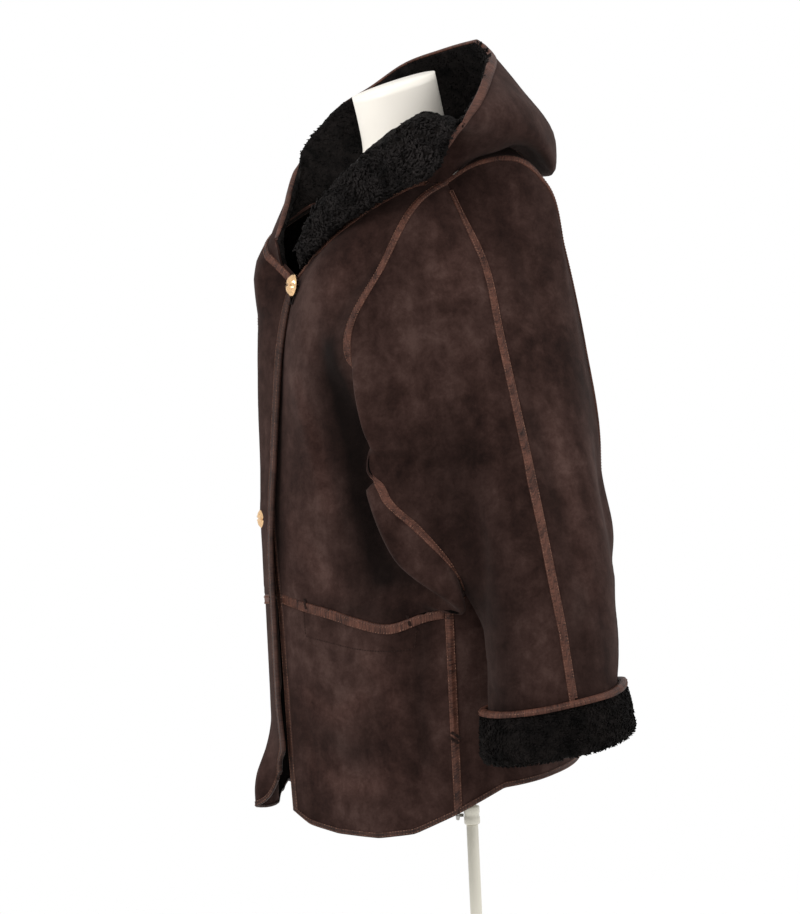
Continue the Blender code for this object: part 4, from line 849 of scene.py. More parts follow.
STRIP_LEATHER = strip_leather("strip_leather", (0.0115, 0.0044, 0.0032), (0.104, 0.041, 0.0265))
EDGE_LEATHER = strip_leather("edge_leather", (0.011, 0.0050, 0.0038), (0.050, 0.0225, 0.0160))
THREAD = thread_finish("thread", (0.060, 0.025, 0.017), (0.20, 0.105, 0.072))
DARK_THREAD = thread_finish("dark_thread", (0.010, 0.0050, 0.0040), (0.034, 0.0175, 0.0135))


def run_of(lines):
    """How far along its line each point is."""
    step = np.linalg.norm(np.diff(lines, axis=-2), axis=-1)
    return np.concatenate([np.zeros_like(step[..., :1]), np.cumsum(step, axis=-1)], axis=-1)


def sampled(part, run, at):
    """An array's rows laid anew at the given lengths along its run."""
    flat = part.reshape(len(part), -1)
    columns = [np.interp(at, run, flat[:, k]) for k in range(flat.shape[1])]
    return np.stack(columns, axis=1).reshape(len(at), *part.shape[1:])


def spread(part, count):
    """An array's rows spread evenly over count rows."""
    return sampled(part, np.arange(len(part)), np.linspace(0, len(part) - 1, count))


def even(bands):
    """Bands of lines laid anew at even steps of their middle line's length."""
    run = run_of(bands[:, bands.shape[1] // 2])
    return sampled(bands, run, np.linspace(0, run[-1], max(3, int(run[-1] / STRIP_SPACING) + 1)))


def matched(bands, count):
    """Bands laid anew at count even steps of their last line's length."""
    run = run_of(bands[:, -1])
    return sampled(bands, run, np.linspace(0, run[-1], count))


def inward(grid, out, section):
    """The places of a section, each a distance in from the border column 0 of a grid along its rows and a
    height off its face, in mm. A negative distance is beyond the border. Gives (row, place, xyz)."""
    distances, heights = np.array(section).T * MM
    run = run_of(grid)
    want = np.minimum(distances[None, :], INWARD_SHARE * run[:, -1:])
    cell = (run[:, None, :] <= want[:, :, None]).sum(axis=2).clip(1, grid.shape[1] - 1) - 1
    row = np.arange(len(grid))[:, None]
    length = run[row, cell + 1] - run[row, cell] + 1e-12
    t = ((want - run[row, cell]) / length)[:, :, None]
    place = grid[row, cell] * (1 - t) + grid[row, cell + 1] * t
    way = out[row, cell] * (1 - t.clip(0, 1)) + out[row, cell + 1] * t.clip(0, 1)
    return place + way * heights[None, :, None]


def tube_faces(count, around, closed):
    """Faces and their UVs of a tube of count sections with around points each: u is the length along it
    in sections and v the share of the way round."""
    i, j = np.meshgrid(np.arange(count if closed else count - 1), np.arange(around), indexing="ij")
    i, j = i.ravel(), j.ravel()
    k, m = (i + 1) % count, (j + 1) % around
    faces = np.stack([i * around + j, i * around + m, k * around + m, k * around + j], axis=-1)
    uv = np.stack([np.stack([i, i, i + 1, i + 1], -1), np.stack([j, j + 1, j + 1, j], -1) / around], axis=-1)
    return faces, uv.astype(float)


def caps(count, around):
    """Four-cornered faces that close the two ends of a tube, laddered across its section."""
    a = np.arange((around - 1) // 2)
    b = around - 1 - a
    ladder = np.stack([a, a + 1, np.where(b - 1 > a + 1, b - 1, b), b], axis=-1)
    return np.concatenate([ladder, ladder[:, ::-1] + (count - 1) * around])


def grain_faces(count, first=0):
    """Faces of that many stitches, whose points follow one another from the given one on."""
    one = np.concatenate([tube_faces(4, 4, False)[0], caps(4, 4)])
    return (one[None] + first + 16 * np.arange(count)[:, None, None]).reshape(-1, 4)


def stitch_points(line, way, across, length=STITCH_LENGTH, slant=0.0, pitch=STITCH_PITCH):
    """Small threads along a line: each is a four-sided grain, thin at both ends, laid along the line or
    turned by slant towards across."""
    run = run_of(line)
    at = np.arange(0.5 * pitch, run[-1] - 0.5 * pitch, pitch)
    place, up, side = (sampled(part, run, at) for part in (line, way, across))
    ahead = unit(sampled(line, run, at + 0.5 * MM) - sampled(line, run, at - 0.5 * MM))
    up = unit(up)
    axis = ahead * math.cos(slant) + unit(side) * math.sin(slant)
    wide = np.cross(up, axis)
    t = np.array([-0.5, -0.28, 0.28, 0.5])
    thick = np.array([0.35, 1.0, 1.0, 0.35]) * STITCH_RADIUS
    lift = np.array([-0.30, 0.15, 0.15, -0.30]) * MM
    corner = np.array([(1, 0), (0, 1), (-1, 0), (0, -1)], float)
    middle = place[:, None] + axis[:, None] * (t * length)[None, :, None] + up[:, None] * lift[None, :, None]
    sides, tops = corner[None, None, :, :1], corner[None, None, :, 1:]
    ring = wide[:, None, None] * sides * 1.25 + up[:, None, None] * tops
    return middle[:, :, None] + ring * thick[None, :, None, None]


def strip(node, rings, threads, right=False, closed=False, leather=STRIP_LEATHER):
    """A leather strip through section rings, with its stitches as one mesh. threads are lists of grains."""
    count, around = rings.shape[:2]
    faces, uv = tube_faces(count, around, closed)
    run = run_of(rings[:, 0])
    run = np.append(run, run[-1] + STRIP_SPACING)
    uv[..., 0] = run[uv[..., 0].astype(int)]
    uv[..., 1] *= STRIP_ROUND
    if not closed:
        faces = np.concatenate([faces, caps(count, around)])
        uv = np.concatenate([uv, np.zeros((len(faces) - len(uv), 4, 2))])
    points = rings.reshape(-1, 3)
    if inside_out(points, faces):
        faces, uv = faces[:, ::-1], uv[:, ::-1]
    grains = np.concatenate(threads) if threads else np.zeros((0, 4, 4, 3))
    more = grain_faces(len(grains), len(points))
    points = np.concatenate([points, grains.reshape(-1, 3)])
    if inside_out(points, more):
        more = more[:, ::-1]
    kinds = np.repeat([0, 1], [len(faces), len(more)])
    faces = np.concatenate([faces, more])
    uv = np.concatenate([uv, np.zeros((len(more), 4, 2))])
    made = object_of(node + "_leather", mirrored(points, right), faces, [leather, THREAD], kinds, uv)
    return worn(made, node)


def over_seam(first, first_out, second, second_out):
    """Section rings of a strip over the seam between two panels whose border columns are column 0."""
    count = max(3, int(run_of(first[:, 0])[-1] / STRIP_SPACING))
    one = matched(inward(first, first_out, OVER_SEAM), count)
    other = matched(inward(second, second_out, OVER_SEAM), count)
    ridge = (one[:, -1:] + other[:, -1:]) / 2
    return np.concatenate([one[:, :-1], ridge, other[:, -2::-1]], axis=1)


def ways_up(across, middle, out):
    """The cross products of the ways across a strip and along its middle line, on its outer side."""
    up = np.cross(across, np.gradient(middle, axis=0))
    return up * np.sign((up * out).sum(axis=1, keepdims=True))


def seam_threads(rings, out):
    """Two rows of stitches, one near each side of a strip."""
    across = rings[:, -2] - rings[:, 1]
    up = ways_up(across, rings[:, 5], out)
    return [stitch_points(rings[:, k], up, across) for k in (2, -3)]


def bound(node, grid, out, section, leather, right=False, slant=0.0):
    """A strip folded round the free edge that is a grid's column 0, with its outer side's stitches."""
    rings = even(inward(grid, out, section))
    up, across = rings[:, 3] - rings[:, 10], rings[:, 5] - rings[:, 1]
    threads = [stitch_points(rings[:, k], up, across, slant=slant) for k in (2, 4)]
    strip(node, rings, threads, right, leather=leather)


back_rev, back_rev_out = back_half[:, ::-1], back_half_out[:, ::-1]
for side, right in SIDES:
    upper, lower, upper_out, lower_out = fronts[side]
    arm_front, arm_back, arm_front_out, arm_back_out = sleeves[side]

    # armhole: up the front from under the arm, over the shoulder and down the back. The rows stop short
    # of the tips where strips meet
    rows, arm_rows = slice(1, upper_marks[UNDERARM] - 3), slice(1, sleeve_front_marks[UNDERARM] - 3)
    front_ring = over_seam(
        upper[rows][::-1, ::-1], upper_out[rows][::-1, ::-1],
        arm_front[arm_rows][::-1], arm_front_out[arm_rows][::-1],
    )
    front_way = spread(upper_out[rows, -1][::-1], len(front_ring))
    rows, arm_rows = slice(1, back_marks[BACK_UNDERARM] - 6), slice(1, sleeve_back_marks[BACK_UNDERARM] - 7)
    back_ring = over_seam(back_rev[rows], back_rev_out[rows], arm_back[arm_rows], arm_back_out[arm_rows])
    back_way = spread(back_rev_out[rows, 0], len(back_ring))
    rings, out = np.concatenate([front_ring, back_ring]), np.concatenate([front_way, back_way])
    height = rings[:, 5, 2]
    sink = ((FOLD_TOP - height) / 0.012).clip(0, 1) * ((height - FOLD_FOOT) / 0.008).clip(0, 1)
    sink[len(front_ring):] = 0.0
    gone = np.flatnonzero(sink > 0.05)
    under, over = slice(0, gone[0]), slice(gone[-1] + 1, None)
    threads = seam_threads(rings[under], out[under]) + seam_threads(rings[over], out[over])
    middle = rings[:, 5:6] - FOLD_SINK * out[:, None]
    rings = middle + (rings - middle) * (1 - 0.99 * sink)[:, None, None]
    strip("strip_armhole_" + side, rings, threads, right)

    # centre of the sleeve, from the shoulder to the cuff
    rows = slice(3, -14)
    rings = over_seam(
        arm_front[rows, ::-1], arm_front_out[rows, ::-1], arm_back[rows, ::-1], arm_back_out[rows, ::-1],
    )
    threads = seam_threads(rings, spread(arm_front_out[rows, -1], len(rings)))
    strip("strip_sleeve_" + side, rings, threads, right)

    # side seam, from under the arm to the hem
    rows, back_rows = slice(upper_marks[UNDERARM] + 1, -1), slice(back_marks[BACK_UNDERARM] + 1, -1)
    side_front = np.concatenate([upper[rows], lower[:-1]])
    side_front_out = np.concatenate([upper_out[rows], lower_out[:-1]])
    rings = over_seam(
        side_front[:, ::-1], side_front_out[:, ::-1], back_rev[back_rows], back_rev_out[back_rows],
    )
    threads = seam_threads(rings, spread(back_rev_out[back_rows, 0], len(rings)))
    strip("strip_side_" + side, rings, threads, right)

    # mouth of the pocket, closing edge and hem
    mouth = sideways(lower[:, 2:-2]), sideways(lower_out[:, 2:-2])
    bound("strip_pocket_" + side, *mouth, ROUND_EDGE, STRIP_LEATHER, right, POCKET_SLANT)
    closing = np.concatenate([upper[:-1], lower]), np.concatenate([upper_out[:-1], lower_out])
    bound("strip_edge_" + side, *closing, ROUND_EDGE, EDGE_LEATHER, right)
    hem = sideways(lower[::-1, 1:]), sideways(lower_out[::-1, 1:])
    bound("strip_hem_" + side, *hem, HEM_EDGE, EDGE_LEATHER, right)

    # neckline under the hood
    rings = even(inward(sideways(upper[:, :-6]), sideways(upper_out[:, :-6]), UNDER_HOOD))
    rings = np.concatenate([rings, (rings[:, :1] + rings[:, -1:]) / 2], axis=1)
    across = rings[:, 6] - rings[:, 0]
    up = ways_up(across, rings[:, 3], spread(upper_out[0, :-6], len(rings)))
    strip("strip_neck_" + side, rings, [stitch_points(rings[:, k], up, across) for k in (2, 4)], right)

bound("strip_hem_back", sideways(back_grid[::-1]), sideways(back_out[::-1]), HEM_EDGE, EDGE_LEATHER)


# ---- Pocket bag: its rectangle of single stitches shows on the lower front under the mouth, with a bar
# tack at each end of the mouth and two across the foot of the side strip's vent.
BAG_LINE = (
    ((16, 897), (16, 882), (16, 867)),
    ((16, 866), (27, 860), (42, 853), (49, 852), (61, 855)),
    ((61, 856), (61.5, 870), (62, 884)),
)
BAR_TACKS = (
    ((16.5, 913), (17.5, 900)), ((59.0, 897), (60.0, 883)), ((71.5, 752),
        (74.5, 744)), ((70.8, 746), (73.8, 738)),
)
TACK_STITCH = (4.4 * MM, math.radians(75), 1.0 * MM)      # length, slant and pitch
# rows of stitches: their lines, their height over the suede, and their form where it is one of their own
STITCH_ROWS = ((BAG_LINE, 0.25 * MM, ()), (BAR_TACKS, 1.7 * MM, TACK_STITCH))


def laid(grid, out, angles_heights, height):
    """A line laid on a face: places given by angle and height, brought to the plane of the nearest corner
    of the grid and then lifted off it. Gives the line and its ways off the face."""
    path = through([on_body(angle, z) for angle, z in angles_heights], 12) * MM
    flat, ways = grid.reshape(-1, 3), out.reshape(-1, 3)
    near = np.linalg.norm(path[:, None] - flat[None], axis=2).argmin(axis=1)
    n = ways[near]
    return path + n * (((flat[near] - path) * n).sum(axis=1) + height)[:, None], n


for side, right in SIDES:
    upper, lower, upper_out, lower_out = fronts[side]
    whole = np.concatenate([upper[-12:-1], lower])
    whole_out = np.concatenate([upper_out[-12:-1], lower_out])
    grains = []
    for lines, height, stitch in STITCH_ROWS:
        for line in lines:
            path, n = laid(whole, whole_out, line, height)
            grains.append(stitch_points(path, n, np.cross(n, np.gradient(path, axis=0)), *stitch))
    grains = np.concatenate(grains)
    points = mirrored(grains.reshape(-1, 3), right)
    worn(object_of("pocket_stitches_" + side, points, grain_faces(len(grains)), [DARK_THREAD]))


# ---- Cuffs: the end of each sleeve is turned back 58 mm with its wool outwards, and its raw edge is bound
# with the same leather. The wool is thick and ragged along the lower edge.
# section of the wool: distance up the sleeve from its end, and out from the sleeve, mm
CUFF_SECTION = (
    (58, 0.9), (38, 0.8), (18, 0.8), (1, 0.8), (-1.0, 0.0), (-1.0, -4.2), (-3.0, -3.8),
    (-5.0, 1.0), (-4.0, 5.5), (0.0, 8.8), (18, 10.4), (38, 10.0), (56, 8.0),
)
CUFF_BINDING = (
    (57.5, 1.6), (59.6, 1.6), (60.2, 7.0), (59.2, 9.8), (56.2, 11.4), (52.6, 11.8), (52.4, 10.4),
    (55.4, 9.6), (57.6, 8.4),
)
CUFF_SIGN = -1           # the side of the cuff's lines on which its wool stands
END_ROWS = 30            # rows of a sleeve's grid that the cuff may reach up
LOCK_SINK = 0.8 * MM     # how deep a lock's foot is sunk into the wool
SWIRL_WAVES = np.array([[61.0, 23.0, 47.0], [19.0, 71.0, 31.0], [37.0, 13.0, 83.0]])
BLACK_WOOL = wool_finish("black_wool", (0.0013, 0.0010, 0.0009), (0.0115, 0.0092, 0.0084), 210.0)
CURL_WOOL = wool_finish("curl_wool", (0.0030, 0.0025, 0.0024), (0.0240, 0.0205, 0.0195), 160.0)


def ring_object(node, rings, materials, suffix):
    """A tube that closes on itself through section rings."""
    faces, uv = tube_faces(*rings.shape[:2], True)
    return worn(object_of(node + suffix, rings.reshape(-1, 3), faces, materials, None, uv), node)


def locks(name, grid, out, count, length, width, lean, seed, keep=1.0, rings=4, curling=0.28, wool=None):
    """Locks of wool over a grid: each is a three-sided taper that bends as it rises, its foot at a random
    place of the grid (cells drawn by their area) and its tip swept to one side by a slow swirl, with a
    curl of its own. More rings and curling make a curled tuft."""
    rng = np.random.default_rng(seed)
    a, b, c, d = grid[:-1, :-1], grid[:-1, 1:], grid[1:, 1:], grid[1:, :-1]
    area = np.linalg.norm(np.cross(c - a, d - b), axis=2) * keep
    pick = rng.choice(area.size, count, p=(area / area.sum()).ravel())
    i, j = np.unravel_index(pick, area.shape)
    u, v = rng.random((2, count, 1))
    foot = (1 - u) * ((1 - v) * a[i, j] + v * b[i, j]) + u * ((1 - v) * d[i, j] + v * c[i, j])
    up = out[i, j]
    swirl = np.sin(foot @ SWIRL_WAVES.T) + rng.normal(0, 0.55, (count, 3))
    side = unit(swirl - up * (swirl * up).sum(axis=1, keepdims=True))
    curl = np.cross(up, side)
    tall = length * (0.7 + 0.6 * rng.random((count, 1, 1)))
    phase = rng.random((count, 1, 1)) * 2 * math.pi
    share = np.linspace(0, 1, rings)
    t = share[None, :, None]
    rise = up[:, None] * np.sin(t * (1.35 + curling)) * (1 - lean * 0.35)
    sweep = side[:, None] * (t**1.4) * lean * (1 - curling * 0.8 * t)
    sweep = sweep + curl[:, None] * curling * np.sin(phase + t * 4.5) * t
    line = foot[:, None] + tall * (rise + sweep) - up[:, None] * LOCK_SINK
    taper = width * (1 - 0.85 * share**2.5)
    radius = taper[None, :, None, None] * (0.75 + 0.5 * rng.random((count, 1, 1, 1)))
    turn = np.array([0.0, 2.094, 4.189])[None, None, :, None]
    around = side[:, None, None] * np.cos(turn) + curl[:, None, None] * np.sin(turn)
    points = (line[:, :, None] + around * radius).reshape(-1, 3)
    one, _ = tube_faces(rings, 3, False)
    faces = (one[None] + 3 * rings * np.arange(count)[:, None, None]).reshape(-1, 4)
    return worn(object_of(name, points, faces, [wool or BLACK_WOOL], closed=False))


def lumpy(grid, out, depth, size, seed):
    """The grid raised and sunk by clumps: sums of sines of its place whose wave is about size long."""
    rng = np.random.default_rng(seed)
    waves = rng.normal(0, 2 * math.pi / size, (14, 3))
    phase = rng.random(14) * 2 * math.pi
    return grid + out * (np.sin(grid @ waves.T + phase).sum(axis=2, keepdims=True) * depth / math.sqrt(14))


def sleeve_end(side):
    """Lines of the sleeve's end, all the way round it, and the ways off it: (round, up the sleeve, xyz)."""
    arm_front, arm_back, arm_front_out, arm_back_out = sleeves[side]
    rows = min(len(arm_front), len(arm_back), END_ROWS)
    grid, out = (
        sideways(np.concatenate([one[-rows:, :-1], other[-rows:, :0:-1]], axis=1)[::-1])
        for one, other in ((arm_front, arm_back), (arm_front_out, arm_back_out))
    )
    return grid, unit(out)


for side, right in SIDES:
    grid, out = sleeve_end(side)
    section = inward(grid, out, CUFF_SECTION)
    # finer round the wool: smooth lines through the section's own corners
    wool = sideways(through(sideways(section[:, 3:]), 5))
    wool_out = ways_out(np.concatenate([wool[-1:], wool, wool[:1]]), CUFF_SIGN)[1:-1]
    clumps = lumpy(wool, wool_out, depth=0.0007, size=0.012, seed=5)
    rings = np.concatenate([section[:, :3], clumps], axis=1)
    made = ring_object("cuff_" + side, mirrored(rings, right), [BLACK_WOOL], "_wool")
    over = ("sleeve_front_" + side + "_suede", "sleeve_back_" + side + "_suede")
    full, full_out = (mirrored(np.concatenate([part, part[:1]]), right) for part in (wool, wool_out))
    locks("cuff_locks_" + side, full, full_out, count=4400, length=0.0042, width=0.0014, lean=0.9, seed=11)
    rings = inward(grid, out, CUFF_BINDING)
    loop = np.concatenate([rings, rings[:1]])
    threads = [stitch_points(loop[:, 4], loop[:, 5] - loop[:, 0], loop[:, 5] - loop[:, 3])]
    strip("strip_cuff_" + side, rings, threads, right, closed=True)


# ---- Hood: two halves of suede with black curly wool inside, sewn along the middle. The left edge is rolled
# over with its wool outwards; the right edge stands up against the neck. The back hangs down as a pouch.
HOOD_SUEDE = 2.6 * MM
HOOD_WOOL = 8.0 * MM
SKIN_GAP = 0.3 * MM      # between the suede and its wool
NECK_SHIFT = (1, 0.8, 0.5, 0.2, 0, 0)    # how far each column follows the neckline
# columns of a row: neckline, stand, turn, outer, fall, rim
HOOD_LEFT = (
    ("button", (20, -203, 1326), (19, -199, 1341), (20, -202, 1352),
        (25, -212, 1352), (29, -218, 1343), (30, -219, 1334)),
    ("lapel", (37, -200, 1342), (34, -190, 1364), (34, -190, 1385),
        (41, -203, 1383), (48, -209, 1366), (49, -209, 1352)),
    ("shawl_low", (71, -188, 1366), (66, -174, 1393), (66, -172, 1420),
        (76, -184, 1419), (87, -194, 1398), (89, -194, 1380)),
    ("shawl_mid", (98, -152, 1394), (87, -146, 1424), (87, -148, 1452),
        (103, -160, 1450), (119, -171, 1423), (122, -170, 1401)),
    ("shawl_high", (110, -112, 1416), (100, -112, 1450), (104, -117, 1481),
        (127, -127, 1478), (150, -139, 1447), (155, -139, 1422)),
    ("corner", (113, -76, 1429), (110, -78, 1468), (123, -85, 1500),
        (153, -94, 1495), (180, -101, 1467), (187, -102, 1446)),
    ("side", (109, -38, 1442), (136, -38, 1463), (160, -45, 1478),
        (178, -56, 1484), (189, -68, 1484), (194, -77, 1479)),
    ("shoulder", (99, 2, 1455), (138, 6, 1460), (163, 6, 1480),
        (171, -6, 1502), (166, -20, 1514), (159, -29, 1519)),
    ("pouch_side", (78, 42, 1464), (110, 47, 1466), (145, 54, 1468),
        (143, 38, 1510), (128, 16, 1536), (118, 6, 1549)),
    ("pouch_back", (42, 71, 1466), (66, 91, 1461), (86, 111, 1430),
        (87, 113, 1468), (74, 74, 1534), (62, 42, 1577)),
    ("centre_back", (0, 80, 1465), (0, 106, 1459), (0, 139, 1424),
        (0, 155, 1464), (0, 108, 1530), (0, 57, 1596)),
)
HOOD_RIGHT = (
    ("button", (8, -218, 1328), (9, -222, 1335), (10, -225, 1341),
        (11, -227, 1347), (12, -229, 1352), (13, -230, 1357)),
    ("lapel", (37, -223, 1346), (42, -219, 1358), (46, -213, 1369),
        (50, -206, 1380), (54, -199, 1390), (58, -193, 1399)),
    ("shawl_low", (71, -191, 1366), (78, -187, 1379), (84, -183, 1391),
        (90, -178, 1402), (96, -173, 1411), (101, -168, 1419)),
    ("shawl_mid", (98, -154, 1395), (108, -152, 1409), (118, -150, 1421),
        (127, -147, 1431), (135, -143, 1440), (142, -138, 1448)),
    ("shawl_high", (110, -112, 1417), (124, -114, 1433), (138, -115, 1448),
        (150, -114, 1461), (160, -112, 1471), (168, -108, 1478)),
    ("corner", (113, -76, 1430), (132, -80, 1449), (150, -82, 1467),
        (165, -82, 1483), (176, -80, 1495), (184, -76, 1504)),
    ("side", (109, -38, 1443), (136, -38, 1464), (158, -43, 1484),
        (172, -47, 1504), (180, -49, 1518), (184, -49, 1527)),
    ("shoulder", (99, 2, 1455), (138, 6, 1460), (163, 5, 1484),
        (173, -4, 1509), (173, -13, 1532), (170, -18, 1545)),
    ("pouch_side", (78, 42, 1464), (110, 47, 1466), (146, 54, 1470),
        (147, 41, 1518), (139, 25, 1555), (133, 17, 1574)),
    ("pouch_back", (42, 71, 1466), (66, 91, 1461), (88, 111, 1432),
        (91, 108, 1476), (84, 72, 1556), (79, 48, 1589)),
    ("centre_back", (0, 80, 1465), (0, 106, 1459), (0, 139, 1424),
        (0, 155, 1464), (0, 108, 1530), (0, 57, 1596)),
)
# round the rim and back inside it: distance beyond the suede's edge and height on the wool's side, mm
RIM_SECTION = (
    (0, -0.6), (1.3, -0.9), (2.6, 0.2), (2.9, 2.2), (2.4, 4.4), (1.0, 5.0), (-0.4, 3.8), (-0.6, 1.2),
    (-8, -0.4), (-9.5, -1.2), (-5, -1.5),
)
# over the centre seam: distance to the left of it and height over the suede, mm
HOOD_CENTRE = (
    (-5.6, -0.5), (-5.4, 0.7), (-3.6, 1.2), (0.0, 1.5), (3.6, 1.2), (5.4, 0.7), (5.6, -0.5), (0.0, -0.8),
)
# the rolled edge's wool past the suede's edge and on its other side, mm, and the turn of the wool's ways off
OVERHANG = ((3.0, 6.5), (7.0, 5.0), (9.8, 1.0), (9.6, -3.5), (6.5, -6.0))
OVERHANG_BACK = ((1.0, 0.6), (3.0, 0.4), (4.6, -0.6), (5.0, -2.2), (4.6, -3.6))
OVERHANG_TURNS = (0.3, 0.8, 1.5, 2.2, 2.9)
PEAK_FOOT = 1.474        # height at which the rolled edge's wool has thinned out, metres
NECK_INSIDE = (-0.0060, -0.0055)         # metres above the neck edge and off its face, in front
NECK_BEHIND = (0.0050, 0.0085)           # how much more behind the shoulder


def neck_edge(side):
    """The panels' neck edge from the closing edge to the centre back: places, ways off and ways upward."""
    upper, _, upper_out, _ = fronts[side]
    return (
        np.concatenate([upper[0], back_half[0, -2::-1]]),
        np.concatenate([upper_out[0], back_half_out[0, -2::-1]]),
        np.concatenate([upper[0] - upper[2], (back_half[0] - back_half[2])[-2::-1]]),
    )


def on_neckline(side, wanted):
    """The place beside the neck edge nearest to each wanted point. In front it is under the edge and inside
    the outer face; behind the shoulder, where the hood falls over the panels, it is outside."""
    line, out, rising = (spread(part, 6 * len(part)) for part in neck_edge(side))
    k = np.linalg.norm(wanted[:, None] - line[None], axis=2).argmin(axis=1)
    behind = np.interp(line[k, 1], (-0.10, -0.04), (0.0, 1.0))[:, None]
    facing = unit(out[k])
    ahead = line[np.minimum(k + 24, len(line) - 1)] - line[np.maximum(k - 24, 0)]
    up = unit(np.cross(facing, ahead))
    up *= np.sign((up * rising[k]).sum(axis=1, keepdims=True))
    above, off = (more * behind + inside for more, inside in zip(NECK_BEHIND, NECK_INSIDE))
    return line[k] + up * above + facing * off


def hood_half(table, side):
    """One half of the hood: the face between suede and wool, and the ways to the wool's side."""
    rows = np.array([row[1:] for row in table], float)
    shift = on_neckline(side, rows[:, 0] * MM) / MM - rows[:, 0]
    rows += shift[:, None] * np.array(NECK_SHIFT)[None, :, None]
    rows[-1, :, 0] = 0.0
    grid, _ = cloth_grid(rows, (), 5.5 * MM)
    grid[:, 0] = on_neckline(side, grid[:, 0])
    grid[-1, :, 0] = 0.0
    out = ways_out(grid, 1)
    out[-1, :, 0] = 0.0
    out[-1] = unit(out[-1])
    return grid, out


def overhang(wool, grid, out):
    """The wool of the rolled edge carried on past the suede's edge and round it. It thins out where the
    edge climbs from the shoulder to the peak. Gives the wool, its back and the ways off it."""
    edge, ahead, way = grid[:, -1], unit(grid[:, -1] - grid[:, -2]), out[:, -1]
    rise = ((PEAK_FOOT - edge[:, 2]) / 0.034).clip(0.18, 1)[:, None]
    more = [edge + (ahead * a + way * b) * rise * MM for a, b in OVERHANG]
    behind = [edge + (ahead * a + way * b) * rise * MM for a, b in OVERHANG_BACK]
    turned = [ahead * math.sin(t) + way * math.cos(t) for t in OVERHANG_TURNS]
    pairs = ((wool, more), (grid, behind), (out, turned))
    return (np.concatenate([part, np.stack(extra, axis=1)], axis=1) for part, extra in pairs)


hood = {}
for (side, right), table, (lump_seed, lock_seed) in zip(SIDES, (HOOD_LEFT, HOOD_RIGHT), ((7, 21), (8, 22))):
    grid, out = hood_half(table, side)
    leather = grid - out * HOOD_SUEDE
    hood[side] = grid, out, leather
    u = np.linspace(0, 1, grid.shape[1])[None, :]
    v = np.linspace(0, 1, grid.shape[0])[:, None]
    thick = HOOD_WOOL * (u / 0.12).clip(0.15, 1) * ((1 - u) / 0.05).clip(0.55, 1) * (v / 0.1).clip(0.6, 1)
    wool = lumpy(grid + out * thick[:, :, None], out, depth=0.0008, size=0.014, seed=lump_seed)
    back, wool_out = grid, out
    if side == "L":
        wool, back, wool_out = overhang(wool, grid, out)
        wool[:, 8:] = lumpy(wool[:, 8:], wool_out[:, 8:], depth=0.0011, size=0.017, seed=9)
    inner = mirrored(grid - out * SKIN_GAP, right)
    made = shell("hood_" + side + "_suede", mirrored(leather, right), inner, [SUEDE, SUEDE])
    worn(made, "hood_" + side)
    wool, wool_out = mirrored(wool, right), mirrored(wool_out, right)
    made = shell("hood_fur_" + side + "_wool", wool, mirrored(back, right), [BLACK_WOOL, BLACK_WOOL])
    worn(made, "hood_fur_" + side)
    u = np.linspace(0, 1, wool.shape[1] - 1)[None, :]
    keep = 1.0 if right else 0.35 + 0.65 * (1 - u)
    locks(
        "hood_locks_" + side, wool, wool_out,
        count=4300, length=0.0025, width=0.0018, lean=1.5, seed=lock_seed, keep=keep,
    )
    if side == "L":
        locks(
            "hood_curls_L", wool, wool_out, count=3600, length=0.0052, width=0.0018, lean=1.0, seed=23,
            keep=((u - 0.50) / 0.22).clip(0, 1), rings=6, curling=0.85, wool=CURL_WOOL,
        )


def rim_rings(side, right):
    """Sections of the rim binding along one half: round the cut edges of the suede and the wool."""
    grid, out, leather = hood[side]
    ahead = unit(grid[:, -1] - grid[:, -2])
    rings = [leather[:, -1] + ahead * (a * MM) + out[:, -1] * (b * MM) for a, b in RIM_SECTION]
    return mirrored(np.stack(rings, axis=1), right)


left, right = (rim_rings(*side) for side in SIDES)
rings = even(np.concatenate([left[:-1], (left[-1:] + right[-1:]) / 2, right[-2::-1]]))
strip("strip_hood_rim", rings, [])

_, out, leather = hood["L"]
seam, way = leather[-1, 6:-5] * (0, 1, 1), -out[-1, 6:-5]
lines = [seam + np.array([x * MM, 0, 0]) + way * (height * MM) for x, height in HOOD_CENTRE]
rings = even(np.stack(lines, axis=1))
up, across = rings[:, 3] - rings[:, 7], rings[:, 5] - rings[:, 1]
strip("strip_hood_centre", rings, [stitch_points(rings[:, k], up, across) for k in (2, 4)])


# ---- Form and stand: a limbless form with a slanted neck cap, on an ivory pole with a clamp, a thumb screw
# and a round base. Profiles are radius and height; the form's rings are height, y, half width, half depth.
FORM_RINGS = (
    (806, -40, 120, 84), (812, -40, 150, 102), (835, -41, 161, 110), (880, -42, 166, 113),
    (950, -46, 152, 103), (1040, -52, 130, 90), (1090, -56, 129, 92), (1160, -62, 140, 106),
    (1230, -64, 150, 118), (1290, -58, 158, 110), (1345, -48, 162, 92), (1376, -46, 146.3, 80),
    (1400, -43, 108, 68), (1417, -44, 84, 62), (1438, -46, 64, 58), (1465, -49, 55, 55),
    (1505, -56, 52, 53), (1545, -64, 52, 52),
)
NECK_TILT = 0.30
NECK_FOOT = 1465         # the neck leans forward above this height, fully so NECK_RISE higher up
NECK_RISE = 80.0
BASE_PROFILE = (
    (172, 0.2), (175, 3), (175, 9), (173, 11.5), (168, 13), (100, 15), (40, 17), (27, 19.5),
    (19, 24.5), (13, 29.8),
)
POLE_TOP = ((7.7, 30.0), (7.7, 586.6), (7.0, 587.6))
UPPER_POLE = ((6.3, 612.4), (6.3, 805.4))
COLLAR = (
    (7.9, 588.0), (9.8, 588.4), (10.4, 589.6), (10.4, 597.0), (9.7, 598.2), (9.7, 602.0),
    (10.4, 603.2), (10.4, 610.2), (9.6, 611.6), (6.6, 612.0),
)
